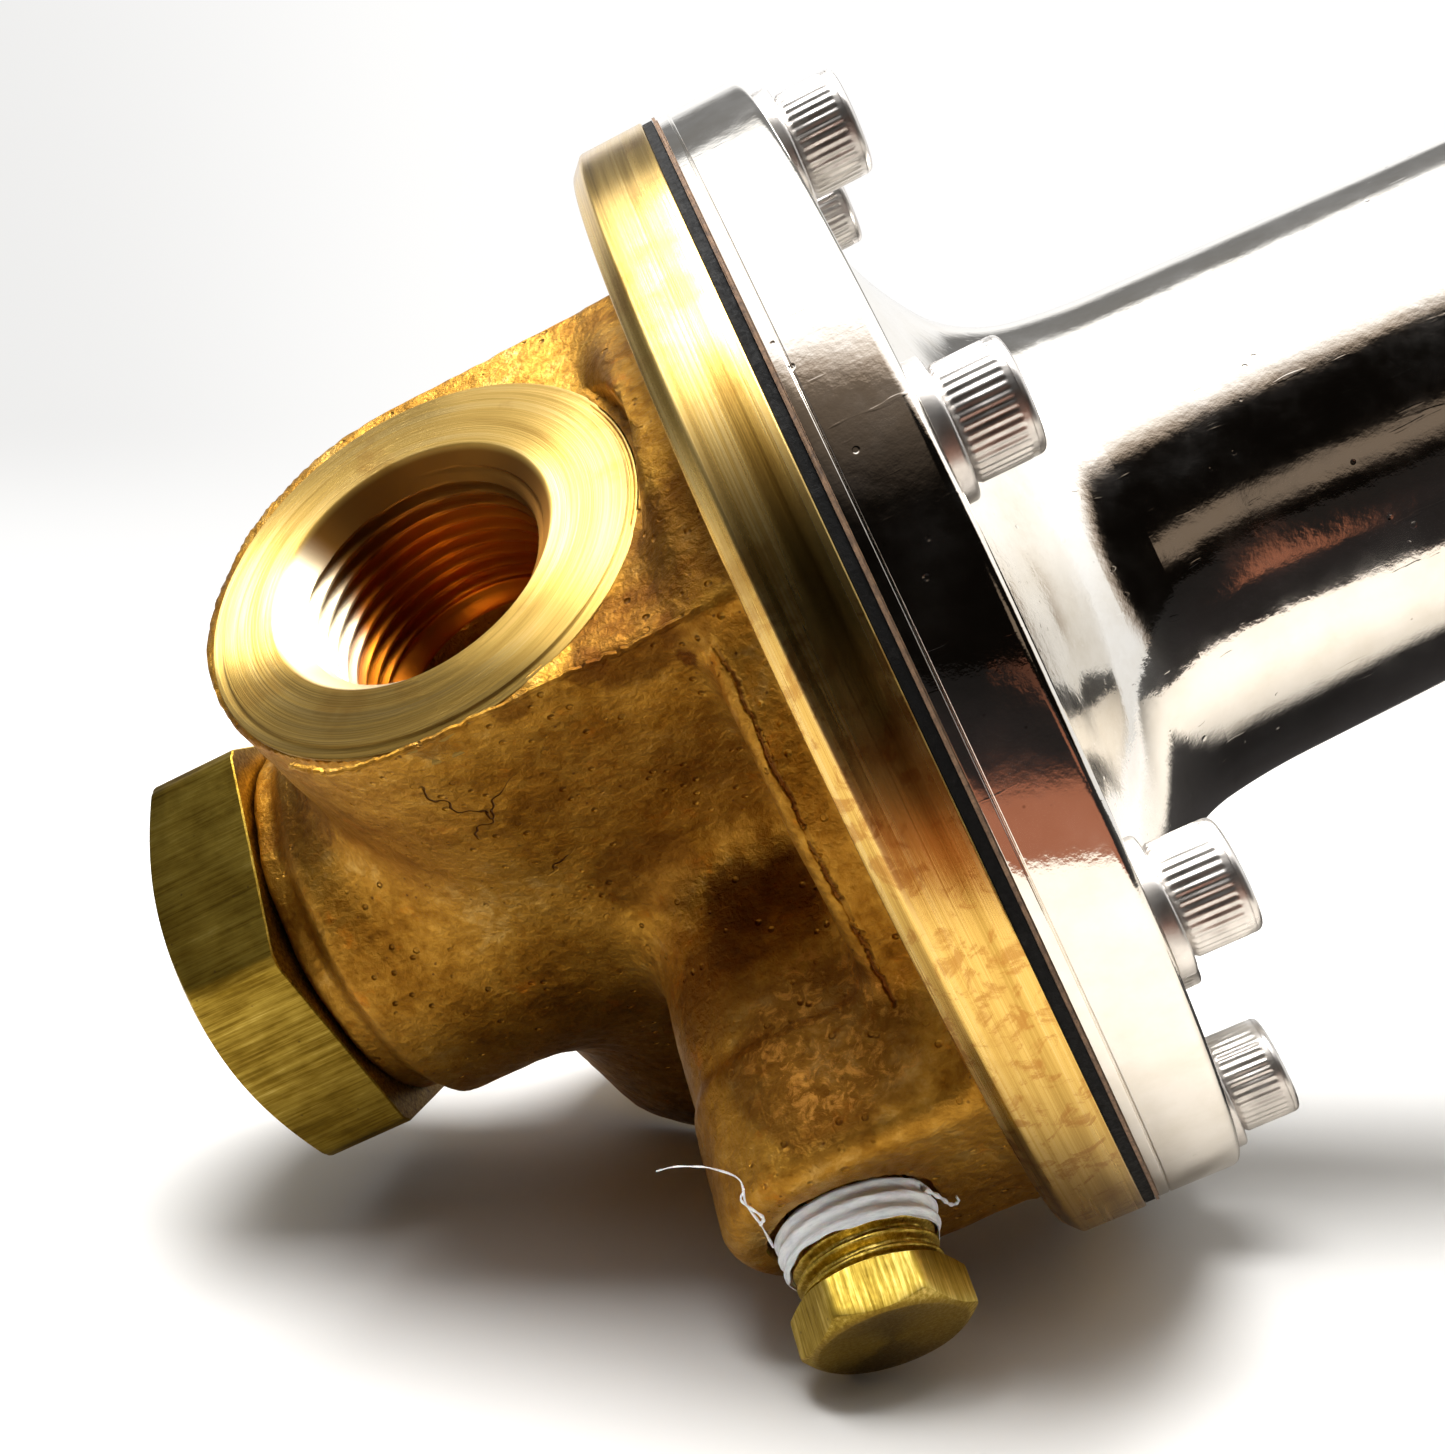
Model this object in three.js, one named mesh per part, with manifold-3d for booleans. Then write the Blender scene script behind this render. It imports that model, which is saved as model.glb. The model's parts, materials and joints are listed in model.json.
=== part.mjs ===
// A spring-loaded diaphragm pressure reducing valve for a heating or water line.
// Millimetres, +Z up. The origin is the centre of the bottom plug's end face,
// the inlet port faces -X, the outlet port +X, and the gauge port -Y.

import * as THREE from 'three';
import { mergeVertices } from 'three/addons/utils/BufferGeometryUtils.js';
import Module from 'manifold-3d';

const wasm = await Module();
wasm.setup();

// ---- Driving dimensions ------------------------------------------------

const clearance = 0.3;            // gap kept between a piece and the hole that it sits in
const faceGap = 0.05;             // gap kept between two flat faces that touch

// body casting
const flangeRadius = 61.6;
const jointZ = 80;                // machined face that the diaphragm is clamped on
const bodyFlangeThickness = 8;
const flangeChamfer = 1.5;
const hubRadius = 46.5;
const hubBottomZ = 66.3;
const cupRadius = 23.5;
const neckRadius = 21.3;
const bodyBottomZ = 12.4;
const neckTopZ = 15.5;

// ports: 3/4 inch pipe thread, modelled at the thread's minor radius
const portZ = 44.7;
const portBoreZ = 43.7;
const portBossRadius = 23.2;
const portBossY = 1.2;            // the cast port arms are a little off the axis of the turned rings
const portRingRadius = 22.3;
const portHalfLength = 42.7;
const portStep = 1.6;             // the cast end stands back from the turned ring by this much
const portThreadRadius = 12.06;
const portThreadDepth = 19;
const portMouthRadius = 14.7;
const passageRadius = 8.5;
const portRounding = 1.4;

// gauge port: 1/4 inch pipe thread
const gaugeZ = 56.1;
const gaugeBossZ = 56.9;          // the cast boss is a little off the axis of the tapped hole
const gaugeBossRadius = 12.4;
const gaugeBossRounding = 2.8;
const gaugeFaceY = 57.2;
const gaugeThreadRadius = 5.72;
const gaugeMouthRadius = 7.9;
const gaugeMouthDepth = 2.2;

// chambers and seat
const plugThreadRadius = 17.2;
const plugThreadTopZ = 25;
const lowerChamberRadius = 16.5;
const webBottomZ = 41;
const webTopZ = 48;
const seatBoreRadius = 10.9;
const upperChamberRadius = 17;
const cavityRadius = 45.5;
const cavityFloorZ = 72;

// clamp stack
const diaphragmThickness = 1.0;
const gasketThickness = 0.3;
const diaphragmZ = jointZ + faceGap;
const gasketZ = diaphragmZ + diaphragmThickness + faceGap;
const bonnetZ = gasketZ + gasketThickness + faceGap;

// bonnet
const bonnetFlangeRadius = 61.2;
const bonnetFlangeTopZ = 90;
const bonnetFlangeChamfer = 1.1;
const bonnetCrownZ = 190;
const bonnetBossTopZ = 198;
const bonnetBossRadius = 12.5;
const bonnetWall = 3.6;

// cap screws, M6
const screwCount = 8;
const screwCircleRadius = 54;
const screwPhase = 24.9;          // degrees from +X to the first screw
const screwRadius = 3;
const screwHeadRadius = 4.95;
const screwHeadHeight = 6;
const screwShank = 18;
const screwHoleBottomZ = 73.1;    // the holes in the body are blind
const washerRadius = 6;
const washerThickness = 1.6;

// bottom plug
const plugAcrossFlats = 44.45;
const plugHexHeight = 12.2;
const plugHexTurn = 41.8;         // degrees from +X to the first corner
const plugChamfer = 2.4;
const ringGrooveRadius = 19.5;
const ringGrooveDepth = 2.3;
const ringRadius = 18.25;         // the O-ring's mean radius and its own section
const ringSection = 0.9;
const springWellRadius = 9.6;
const springWellZ = 16;
const guideBoreRadius = 5.3;
const guideBoreZ = 8;

// seat and poppet
const seatFaceZ = 38.3;           // the nozzle's lip, which the poppet's disc closes on
const seatLipRadius = 7;
const seatFlangeRadius = 13;
const seatFlangeZ = 39.4;
const poppetGuideRadius = 5;
const poppetLowZ = 18;
const poppetHeadRadius = 11.4;
const poppetHeadZ = 28;
const poppetDiscZ = 34.4;
const poppetBoreZ = 31;
const poppetRimZ = 37.4;

// valve stroke, spring and adjuster
const poppetSpringRadius = 7.6;
const poppetSpringWire = 0.75;
const stemRadius = 3;
const stemShoulderRadius = 6;
const stackStudRadius = 4;
const stackHoleRadius = 4.35;
const stackTopZ = 87.6;
const diaphragmDrop = 3;          // the clamped centre hangs this far below the rim
const plateRadius = 34;
const lowerPlateThickness = 1.9;
const upperPlateThickness = 2;
const stackNutFlats = 13;
const stackNutHeight = 5;
const springMeanRadius = 15.5;
const springWireRadius = 2.1;
const springTurns = 8;
const buttonZ = 166;
const buttonThickness = 5;
const buttonRadius = 18.4;
const adjusterRadius = 4.9;
const adjusterTopZ = 222;
const adjusterHexHeight = 6.4;
const lockNutHeight = 6;
const smallHexFlats = 17;
const smallHexCorner = 9.9;       // corners and end faces of the small hexagons after chamfering
const smallHexFace = 8.2;

// gauge plug
const gaugePlugFlats = 14;
const gaugePlugHexStartY = 63.4;
const gaugePlugEndY = 68;
const gaugePlugHexTurn = 19.2;
const gaugePlugThreadRadius = 6.45;
const gaugePlugEngaged = 5;       // length of thread that is still in the port
const tapeLength = 3;
const tapeThickness = 0.8;

// ---- Helpers ---------------------------------------------------------

const radians = THREE.MathUtils.degToRad;

// A closed three.js geometry as a manifold solid.
function solid(geometry) {
  const bare = geometry.index ? geometry.toNonIndexed() : geometry.clone();
  bare.deleteAttribute('normal');
  bare.deleteAttribute('uv');
  const merged = mergeVertices(bare, 1e-4);
  const corners = merged.index.array;
  const positions = merged.attributes.position.array;
  const triangles = [];
  let volume = 0;
  for (let i = 0; i < corners.length; i += 3) {
    const [a, b, c] = [corners[i], corners[i + 1], corners[i + 2]];
    if (a === b || b === c || c === a) continue;
    triangles.push(a, b, c);
    const [p, q, r] = [a, b, c].map((k) => new THREE.Vector3().fromArray(positions, 3 * k));
    volume += p.dot(q.cross(r));
  }
  if (volume < 0) triangles.reverse();
  return new wasm.Manifold(new wasm.Mesh({
    numProp: 3,
    vertProperties: new Float32Array(positions),
    triVerts: new Uint32Array(triangles),
  }));
}

// A manifold solid as a three.js geometry.
function geometryOf(manifold) {
  const result = manifold.getMesh();
  const geometry = new THREE.BufferGeometry();
  const positions = new Float32Array(result.numVert * 3);
  for (let i = 0; i < result.numVert; i += 1) {
    for (let k = 0; k < 3; k += 1) {
      positions[3 * i + k] = result.vertProperties[result.numProp * i + k];
    }
  }
  geometry.setAttribute('position', new THREE.BufferAttribute(positions, 3));
  geometry.setIndex(Array.from(result.triVerts));
  geometry.computeVertexNormals();
  return geometry;
}

// A shape turned about Z from [radius, z] points. It starts and ends on the axis or closes on itself.
function turned(points, segments = 48) {
  const profile = points.map(([r, z]) => new THREE.Vector2(r, z));
  const geometry = new THREE.LatheGeometry(profile, segments);
  geometry.rotateX(Math.PI / 2);
  return solid(geometry);
}

function closed(points) {
  return [...points, points[0]];
}

// A plain ring or, with inner 0, a disc about Z.
function ring(inner, outer, low, high, segments = 48) {
  if (inner === 0) {
    return turned([[0, low], [outer, low], [outer, high], [0, high]], segments);
  }
  return turned(closed([[inner, low], [outer, low], [outer, high], [inner, high]]), segments);
}

// A round bar between two points.
function bar(from, to, radius, segments = 32) {
  const start = new THREE.Vector3(...from);
  const end = new THREE.Vector3(...to);
  const along = end.clone().sub(start);
  const geometry = new THREE.CylinderGeometry(radius, radius, along.length(), segments);
  const turn = new THREE.Quaternion().setFromUnitVectors(
    new THREE.Vector3(0, 1, 0),
    along.clone().normalize(),
  );
  geometry.applyQuaternion(turn);
  geometry.translate(...start.add(end).multiplyScalar(0.5).toArray());
  return solid(geometry);
}

// A hexagonal bar about Z, its first corner at the given angle.
function hexBar(acrossFlats, low, high, cornerDegrees) {
  const cornerRadius = acrossFlats / Math.sqrt(3);
  const shape = new THREE.Shape();
  for (let k = 0; k < 6; k += 1) {
    const angle = radians(cornerDegrees + 60 * k);
    const point = [cornerRadius * Math.cos(angle), cornerRadius * Math.sin(angle)];
    if (k === 0) {
      shape.moveTo(...point);
    } else {
      shape.lineTo(...point);
    }
  }
  const geometry = new THREE.ExtrudeGeometry(shape, { depth: high - low, bevelEnabled: false });
  geometry.translate(0, 0, low);
  return solid(geometry);
}

// A bar with a rounded lower half and straight sides up to top, drawn in (across, z),
// running from start to end along the first axis, its end edges rounded off.
function archBar(radius, centreZ, topZ, start, end, rounding) {
  const shape = new THREE.Shape();
  shape.moveTo(radius, topZ);
  shape.lineTo(-radius, topZ);
  shape.lineTo(-radius, centreZ);
  shape.absarc(0, centreZ, radius, Math.PI, 2 * Math.PI, false);
  shape.closePath();
  const geometry = new THREE.ExtrudeGeometry(shape, {
    depth: end - start - 2 * rounding,
    curveSegments: 20,
    bevelThickness: rounding,
    bevelSize: rounding / 2,
    bevelOffset: -rounding / 2,
    bevelSegments: 2,
  });
  geometry.translate(0, 0, start + rounding);
  geometry.rotateX(Math.PI / 2);
  geometry.rotateZ(Math.PI / 2);
  return solid(geometry);
}

// A coil spring about Z with a flattened end turn at each end.
function coil(meanRadius, wireRadius, low, high, turns, steps, sides) {
  const span = high - low - 2 * wireRadius;
  const endTurn = 0.9;
  const endRise = 2.15 * wireRadius;
  class Coil extends THREE.Curve {
    getPoint(t, target = new THREE.Vector3()) {
      const turn = t * turns;
      const angle = 2 * Math.PI * turn;
      let z;
      if (turn < endTurn) {
        z = endRise * turn / endTurn;
      } else if (turn > turns - endTurn) {
        z = span - endRise * (turns - turn) / endTurn;
      } else {
        z = endRise + (span - 2 * endRise) * (turn - endTurn) / (turns - 2 * endTurn);
      }
      return target.set(meanRadius * Math.cos(angle), meanRadius * Math.sin(angle), low + wireRadius + z);
    }
  }
  const section = new THREE.Shape();
  section.absarc(0, 0, wireRadius, 0, 2 * Math.PI, false);
  const geometry = new THREE.ExtrudeGeometry(section, {
    steps,
    curveSegments: sides / 2,
    bevelEnabled: false,
    extrudePath: new Coil(),
  });
  return solid(geometry);
}

function joined(pieces) {
  return pieces.reduce((sum, piece) => sum.add(piece));
}

function screwPlace(index) {
  const angle = radians(screwPhase + 360 / screwCount * index);
  return [screwCircleRadius * Math.cos(angle), screwCircleRadius * Math.sin(angle)];
}

// The holes that the cap screws pass through, as one cutting solid.
function screwHoles(low, high) {
  const holes = [];
  for (let k = 0; k < screwCount; k += 1) {
    const [x, y] = screwPlace(k);
    holes.push(bar([x, y, low], [x, y, high], screwRadius + clearance, 12));
  }
  return joined(holes);
}

// ---- Materials ---------------------------------------------------------

function finish(color, roughness, metalness) {
  return new THREE.MeshStandardMaterial({ color, roughness, metalness });
}

const castBrass = () => finish(0xb98a3e, 0.45, 1);
const barBrass = () => finish(0xc2a94a, 0.35, 1);
const plated = () => finish(0xdad6cf, 0.12, 1);
const steel = () => finish(0xb9b8b4, 0.3, 1);
const blackRubber = () => finish(0x121212, 0.7, 0);
const fibre = () => finish(0x5a4632, 0.85, 0);
const tape = () => finish(0xeeeeec, 0.6, 0);

// ---- Body and bottom plug ------------------------------------------------

function portCut(side) {
  const mouth = side * portHalfLength;
  const threadEnd = side * (portHalfLength - portThreadDepth);
  const bore = bar([mouth + side, 0, portBoreZ], [threadEnd, 0, portBoreZ], portThreadRadius, 28);
  const rise = portMouthRadius - portThreadRadius;
  const cone = turned([
    [0, -rise], [portThreadRadius, -rise], [portMouthRadius, 0], [portMouthRadius, 1], [0, 1],
  ], 28).rotate([0, side * 90, 0]).translate([mouth, 0, portBoreZ]);
  return bore.add(cone);
}

function makeBody() {
  const flange = turned([
    [0, jointZ - bodyFlangeThickness],
    [flangeRadius - flangeChamfer, jointZ - bodyFlangeThickness],
    [flangeRadius, jointZ - bodyFlangeThickness + flangeChamfer],
    [flangeRadius, jointZ],
    [0, jointZ],
  ], 64);
  const hub = ring(0, hubRadius, hubBottomZ, jointZ - 1, 48);
  const cup = turned([
    [0, bodyBottomZ], [neckRadius, bodyBottomZ], [neckRadius, neckTopZ - 1], [cupRadius, neckTopZ + 1],
    [cupRadius, jointZ - 1], [0, jointZ - 1],
  ]);
  const armLength = portHalfLength - portStep;
  const armTop = hubBottomZ + 1;
  const portArm = archBar(portBossRadius, portZ, armTop, -armLength, armLength, portRounding)
    .translate([0, portBossY, 0]);
  const portRing = bar([-portHalfLength, 0, portZ], [portHalfLength, 0, portZ], portRingRadius, 40);
  const gaugeArm = archBar(gaugeBossRadius, gaugeBossZ, armTop, 0, gaugeFaceY, gaugeBossRounding)
    .rotate([0, 0, -90]);

  const lowerBore = turned([
    [0, bodyBottomZ - 1], [ringGrooveRadius, bodyBottomZ - 1],
    [ringGrooveRadius, bodyBottomZ + ringGrooveDepth],
    [plugThreadRadius, bodyBottomZ + ringGrooveDepth], [plugThreadRadius, plugThreadTopZ],
    [lowerChamberRadius, plugThreadTopZ], [lowerChamberRadius, webBottomZ], [0, webBottomZ],
  ]);
  const seatBore = ring(0, seatBoreRadius, webBottomZ - 1, webTopZ + 1, 32);
  const upperBore = turned([
    [0, webTopZ], [upperChamberRadius, webTopZ], [upperChamberRadius, cavityFloorZ],
    [cavityRadius - 2, cavityFloorZ], [cavityRadius, cavityFloorZ + 2], [cavityRadius, jointZ + 1],
    [0, jointZ + 1],
  ], 48);
  const inletPassage = bar([-portHalfLength + 15, 0, portBoreZ], [-9, 0, 32], passageRadius, 20);
  const outletPassage = bar([portHalfLength - 15, 0, portBoreZ], [9, 0, 57], passageRadius, 20);
  const gaugeBore = bar([0, -gaugeFaceY - 1, gaugeZ], [0, -10, gaugeZ], gaugeThreadRadius, 20);
  const gaugeMouth = bar(
    [0, -gaugeFaceY - 1, gaugeZ],
    [0, -gaugeFaceY + gaugeMouthDepth, gaugeZ],
    gaugeMouthRadius,
    20,
  );

  return joined([flange, hub, cup, portArm, portRing, gaugeArm])
    .subtract(joined([lowerBore, seatBore, upperBore]))
    .subtract(joined([portCut(-1), portCut(1), inletPassage, outletPassage, gaugeBore, gaugeMouth]))
    .subtract(screwHoles(screwHoleBottomZ, jointZ + 1));
}

// The hexagon has its corners chamfered to a cone at the free end, and the spigot guides the poppet.
function makeBottomPlug() {
  const hex = hexBar(plugAcrossFlats, 0, plugHexHeight, plugHexTurn);
  const cornerRadius = plugAcrossFlats / Math.sqrt(3);
  const cone = turned([
    [0, 0], [plugAcrossFlats / 2 - 0.9, 0], [cornerRadius + 0.1, plugChamfer],
    [cornerRadius + 0.1, plugHexHeight], [0, plugHexHeight],
  ], 64);
  const spigotRadius = plugThreadRadius - clearance;
  const spigot = turned([
    [0, plugHexHeight - 1], [spigotRadius, plugHexHeight - 1], [spigotRadius, plugThreadTopZ - 2],
    [spigotRadius - 1, plugThreadTopZ - 1], [0, plugThreadTopZ - 1],
  ]);
  const springWell = ring(0, springWellRadius, springWellZ, plugThreadTopZ, 32);
  const guideBore = ring(0, guideBoreRadius, guideBoreZ, springWellZ + 1, 24);
  return hex.intersect(cone).add(spigot).subtract(springWell).subtract(guideBore);
}

function makePlugRing() {
  const sides = 6;
  const centreZ = bodyBottomZ + ringGrooveDepth / 2;
  const section = [];
  for (let k = 0; k < sides; k += 1) {
    const angle = 2 * Math.PI * k / sides;
    section.push([
      ringRadius + ringSection * Math.cos(angle),
      centreZ + ringSection * Math.sin(angle),
    ]);
  }
  return turned(closed(section), 28);
}

// ---- Valve: seat, poppet, stem and diaphragm stack ------------------------

function makeSeatRing() {
  const outer = seatBoreRadius - clearance;
  const flangeTopZ = webBottomZ - faceGap;
  const topZ = webTopZ - 0.5;
  return turned(closed([
    [seatLipRadius, seatFaceZ], [seatLipRadius + 1, seatFaceZ], [seatLipRadius + 2, seatFlangeZ],
    [seatFlangeRadius, seatFlangeZ], [seatFlangeRadius, flangeTopZ], [outer, flangeTopZ],
    [outer, topZ], [seatLipRadius, topZ],
  ]), 36);
}

// A guide pin below, and above it a cup that holds the rubber disc.
function makePoppet() {
  const discSeatRadius = poppetHeadRadius - 1.1;
  const stemHole = stemRadius + clearance;
  return turned([
    [0, poppetLowZ], [poppetGuideRadius, poppetLowZ], [poppetGuideRadius, poppetHeadZ],
    [poppetHeadRadius, poppetHeadZ], [poppetHeadRadius, poppetRimZ], [discSeatRadius, poppetRimZ],
    [discSeatRadius, poppetDiscZ], [stemHole, poppetDiscZ], [stemHole, poppetBoreZ], [0, poppetBoreZ],
  ], 36);
}

function makePoppetDisc() {
  const outer = poppetHeadRadius - 1.1 - clearance;
  return ring(stemRadius + clearance, outer, poppetDiscZ + faceGap, seatFaceZ - faceGap, 36);
}

const centreZ = diaphragmZ - diaphragmDrop;   // underside of the diaphragm's clamped centre
const shoulderZ = centreZ - faceGap - lowerPlateThickness - faceGap;

// It pushes the poppet open, and its shouldered upper end clamps the diaphragm stack.
function makeStem() {
  const lowZ = poppetBoreZ + clearance;
  const shoulderLowZ = webTopZ + 18;
  const taper = stemShoulderRadius - stemRadius;
  return turned([
    [0, lowZ], [stemRadius, lowZ], [stemRadius, shoulderLowZ - taper],
    [stemShoulderRadius, shoulderLowZ], [stemShoulderRadius, shoulderZ],
    [stackStudRadius, shoulderZ], [stackStudRadius, stackTopZ - 0.6],
    [stackStudRadius - 0.6, stackTopZ], [0, stackTopZ],
  ], 28);
}

// The sheet: flat rim under the bonnet, a rolled step, and a flat centre.
function makeDiaphragm() {
  const stepOut = 44;
  const stepIn = 36;
  const steps = 3;
  const under = [];
  for (let k = 0; k <= steps; k += 1) {
    const t = k / steps;
    const r = stepIn + (stepOut - stepIn) * t;
    under.push([r, centreZ + diaphragmDrop * (0.5 - 0.5 * Math.cos(Math.PI * t))]);
  }
  const over = under.map(([r, z]) => [r, z + diaphragmThickness]).reverse();
  const rim = flangeRadius - 0.25;
  const sheet = turned(closed([
    [stackHoleRadius, centreZ], ...under, [rim, diaphragmZ], [rim, diaphragmZ + diaphragmThickness],
    ...over, [stackHoleRadius, centreZ + diaphragmThickness],
  ]), 64);
  return sheet.subtract(screwHoles(diaphragmZ - 1, gasketZ + 1));
}

function makeGasket() {
  const sheet = ring(cavityRadius + 1, flangeRadius - 0.1, gasketZ, gasketZ + gasketThickness, 64);
  return sheet.subtract(screwHoles(diaphragmZ - 1, gasketZ + 1));
}

function makeLowerPlate() {
  const top = centreZ - faceGap;
  const low = top - lowerPlateThickness;
  return turned(closed([
    [stackHoleRadius, low], [plateRadius - 1.2, low], [plateRadius, low + 1.1], [plateRadius, top],
    [stackHoleRadius, top],
  ]), 36);
}

const upperPlateZ = centreZ + diaphragmThickness + faceGap;
const springSeatZ = upperPlateZ + upperPlateThickness;

// A dish with an upturned rim and a raised ring that keeps the range spring central.
function makeUpperPlate() {
  const rimWall = 1.6;
  const rimZ = springSeatZ + 0.6;
  const ringInner = springMeanRadius + springWireRadius + 1.3;
  const ringZ = springSeatZ + rimWall;
  return turned(closed([
    [stackHoleRadius, upperPlateZ], [plateRadius, upperPlateZ], [plateRadius, rimZ],
    [plateRadius - rimWall, rimZ], [plateRadius - rimWall, springSeatZ],
    [ringInner + rimWall, springSeatZ], [ringInner + rimWall, ringZ], [ringInner, ringZ],
    [ringInner, springSeatZ], [stackHoleRadius, springSeatZ],
  ]), 36);
}

function makeStackNut() {
  const low = springSeatZ + faceGap;
  const high = low + stackNutHeight;
  return hexBar(stackNutFlats, low, high, 0)
    .subtract(ring(0, stackStudRadius + clearance, low - 1, high + 1, 24));
}

function makePoppetSpring() {
  const low = springWellZ + 2 * faceGap;
  return coil(poppetSpringRadius, poppetSpringWire, low, poppetHeadZ - faceGap, 5, 60, 6);
}

// ---- Bonnet, range spring and adjuster ---------------------------------------

function makeRangeSpring() {
  const low = springSeatZ + faceGap;
  return coil(springMeanRadius, springWireRadius, low, buttonZ - faceGap, springTurns, 120, 6);
}

function makeBonnet() {
  const outside = [
    [bonnetFlangeRadius, bonnetZ], [bonnetFlangeRadius, bonnetFlangeTopZ - bonnetFlangeChamfer],
    [bonnetFlangeRadius - bonnetFlangeChamfer, bonnetFlangeTopZ],
    [47.5, bonnetFlangeTopZ], [37, 94.4], [31.5, 98.2], [28.4, 103],
    [27, 110], [25, 152], [23.9, bonnetCrownZ - 8], [22.6, bonnetCrownZ - 3.5],
    [19, bonnetCrownZ - 0.8], [bonnetBossRadius, bonnetCrownZ], [bonnetBossRadius, bonnetBossTopZ - 1],
    [bonnetBossRadius - 1, bonnetBossTopZ],
  ];
  const screwHole = adjusterRadius + clearance;
  const inside = [
    [screwHole, bonnetBossTopZ], [screwHole, bonnetCrownZ - 5], [16, bonnetCrownZ - 5],
    [19.6, bonnetCrownZ - 8], [25 - bonnetWall, 152], [27 - bonnetWall, 110], [27.3, 98], [34, 91],
    [cavityRadius, 84.5], [cavityRadius, bonnetZ],
  ];
  const vent = bar([16, 16, 118], [24, 24, 118], 1.6, 12);
  return turned(closed([...outside, ...inside]), 64)
    .subtract(screwHoles(bonnetZ - 1, bonnetFlangeTopZ + 1))
    .subtract(vent);
}

function makeSpringButton() {
  const guideOuter = springMeanRadius - springWireRadius - 0.6;
  const guideInner = guideOuter - 2.4;
  const guideDepth = 3;
  const padRadius = 8;
  return turned([
    [0, buttonZ], [guideInner, buttonZ], [guideInner, buttonZ - guideDepth],
    [guideOuter, buttonZ - guideDepth], [guideOuter, buttonZ], [buttonRadius, buttonZ],
    [buttonRadius, buttonZ + buttonThickness - 2], [padRadius, buttonZ + buttonThickness],
    [0, buttonZ + buttonThickness],
  ], 40);
}

function makeAdjuster() {
  const tip = buttonZ + buttonThickness + faceGap;
  const shank = turned([
    [0, tip], [adjusterRadius - 1.4, tip], [adjusterRadius, tip + 2],
    [adjusterRadius, adjusterTopZ - 1], [0, adjusterTopZ - 1],
  ], 28);
  const headZ = adjusterTopZ - adjusterHexHeight;
  const hex = hexBar(smallHexFlats, headZ, adjusterTopZ, 10);
  const cone = turned([
    [0, headZ], [smallHexCorner, headZ], [smallHexCorner, adjusterTopZ - 1.2],
    [smallHexFace, adjusterTopZ], [0, adjusterTopZ],
  ], 36);
  return shank.add(hex.intersect(cone));
}

function makeLockNut() {
  const low = bonnetBossTopZ + faceGap;
  const high = low + lockNutHeight;
  const cone = turned([
    [0, low], [smallHexFace, low], [smallHexCorner, low + 1], [smallHexCorner, high - 1],
    [smallHexFace, high], [0, high],
  ], 36);
  return hexBar(smallHexFlats, low, high, 22)
    .intersect(cone)
    .subtract(ring(0, adjusterRadius + clearance, low - 1, high + 1, 28));
}

// ---- Fasteners --------------------------------------------------------------

// A hexagon socket cap screw, its head's underside at z = 0.
function makeCapScrew() {
  const head = turned([
    [0, -0.5], [screwHeadRadius, -0.5], [screwHeadRadius, screwHeadHeight - 0.7],
    [screwHeadRadius - 0.7, screwHeadHeight], [0, screwHeadHeight],
  ], 16).subtract(ring(0, 20, -1, 0, 12));
  const shank = ring(0, screwRadius, -screwShank, 1, 12);
  const socket = hexBar(5, screwHeadHeight - 3.2, screwHeadHeight + 1, 0);
  return head.add(shank).subtract(socket);
}

function makeWasher() {
  return ring(screwRadius + clearance, washerRadius, 0, washerThickness, 20);
}

// ---- Gauge plug ---------------------------------------------------------------

// Built along +Z from its inner end, then laid along -Y.
function layAlongGaugePort(manifold) {
  return manifold.rotate([90, 0, 0]).translate([0, 0, gaugeZ]);
}

function makeGaugePlug() {
  const innerEnd = gaugeFaceY - gaugePlugEngaged;
  const inBore = gaugeThreadRadius - clearance;
  const shank = turned([
    [0, innerEnd], [inBore - 0.8, innerEnd], [inBore, innerEnd + 0.8],
    [inBore, gaugeFaceY - gaugeMouthDepth + 0.4], [gaugePlugThreadRadius, gaugeFaceY],
    [gaugePlugThreadRadius, gaugePlugHexStartY + 1], [0, gaugePlugHexStartY + 1],
  ], 28);
  const hex = hexBar(gaugePlugFlats, gaugePlugHexStartY, gaugePlugEndY, -gaugePlugHexTurn);
  const corner = gaugePlugFlats / Math.sqrt(3);
  const cone = turned([
    [0, gaugePlugHexStartY], [corner - 0.9, gaugePlugHexStartY], [corner + 0.1, gaugePlugHexStartY + 0.7],
    [corner + 0.1, gaugePlugEndY - 0.9], [gaugePlugFlats / 2 - 0.4, gaugePlugEndY], [0, gaugePlugEndY],
  ], 36);
  return layAlongGaugePort(shank.add(hex.intersect(cone)));
}

function makeTape() {
  const inner = gaugePlugThreadRadius + 0.08;
  const low = gaugeFaceY + 0.2;
  return layAlongGaugePort(ring(inner, inner + tapeThickness, low, low + tapeLength, 28));
}

// ---- Assembly -------------------------------------------------------------------

const model = new THREE.Group();

function place(name, manifold, material) {
  const mesh = new THREE.Mesh(geometryOf(manifold), material);
  mesh.name = name;
  model.add(mesh);
  return mesh;
}

place('body', makeBody(), castBrass());
place('bottom_plug', makeBottomPlug(), barBrass());
place('bottom_plug_o_ring', makePlugRing(), blackRubber());
place('seat_ring', makeSeatRing(), steel());
place('poppet', makePoppet(), barBrass());
place('poppet_disc', makePoppetDisc(), blackRubber());
place('poppet_spring', makePoppetSpring(), steel());
place('stem', makeStem(), steel());
place('diaphragm', makeDiaphragm(), blackRubber());
place('diaphragm_gasket', makeGasket(), fibre());
place('lower_pressure_plate', makeLowerPlate(), barBrass());
place('upper_pressure_plate', makeUpperPlate(), steel());
place('stack_nut', makeStackNut(), steel());
place('bonnet', makeBonnet(), plated());
place('range_spring', makeRangeSpring(), steel());
place('spring_button', makeSpringButton(), steel());
place('adjusting_screw', makeAdjuster(), steel());
place('lock_nut', makeLockNut(), steel());

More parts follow.
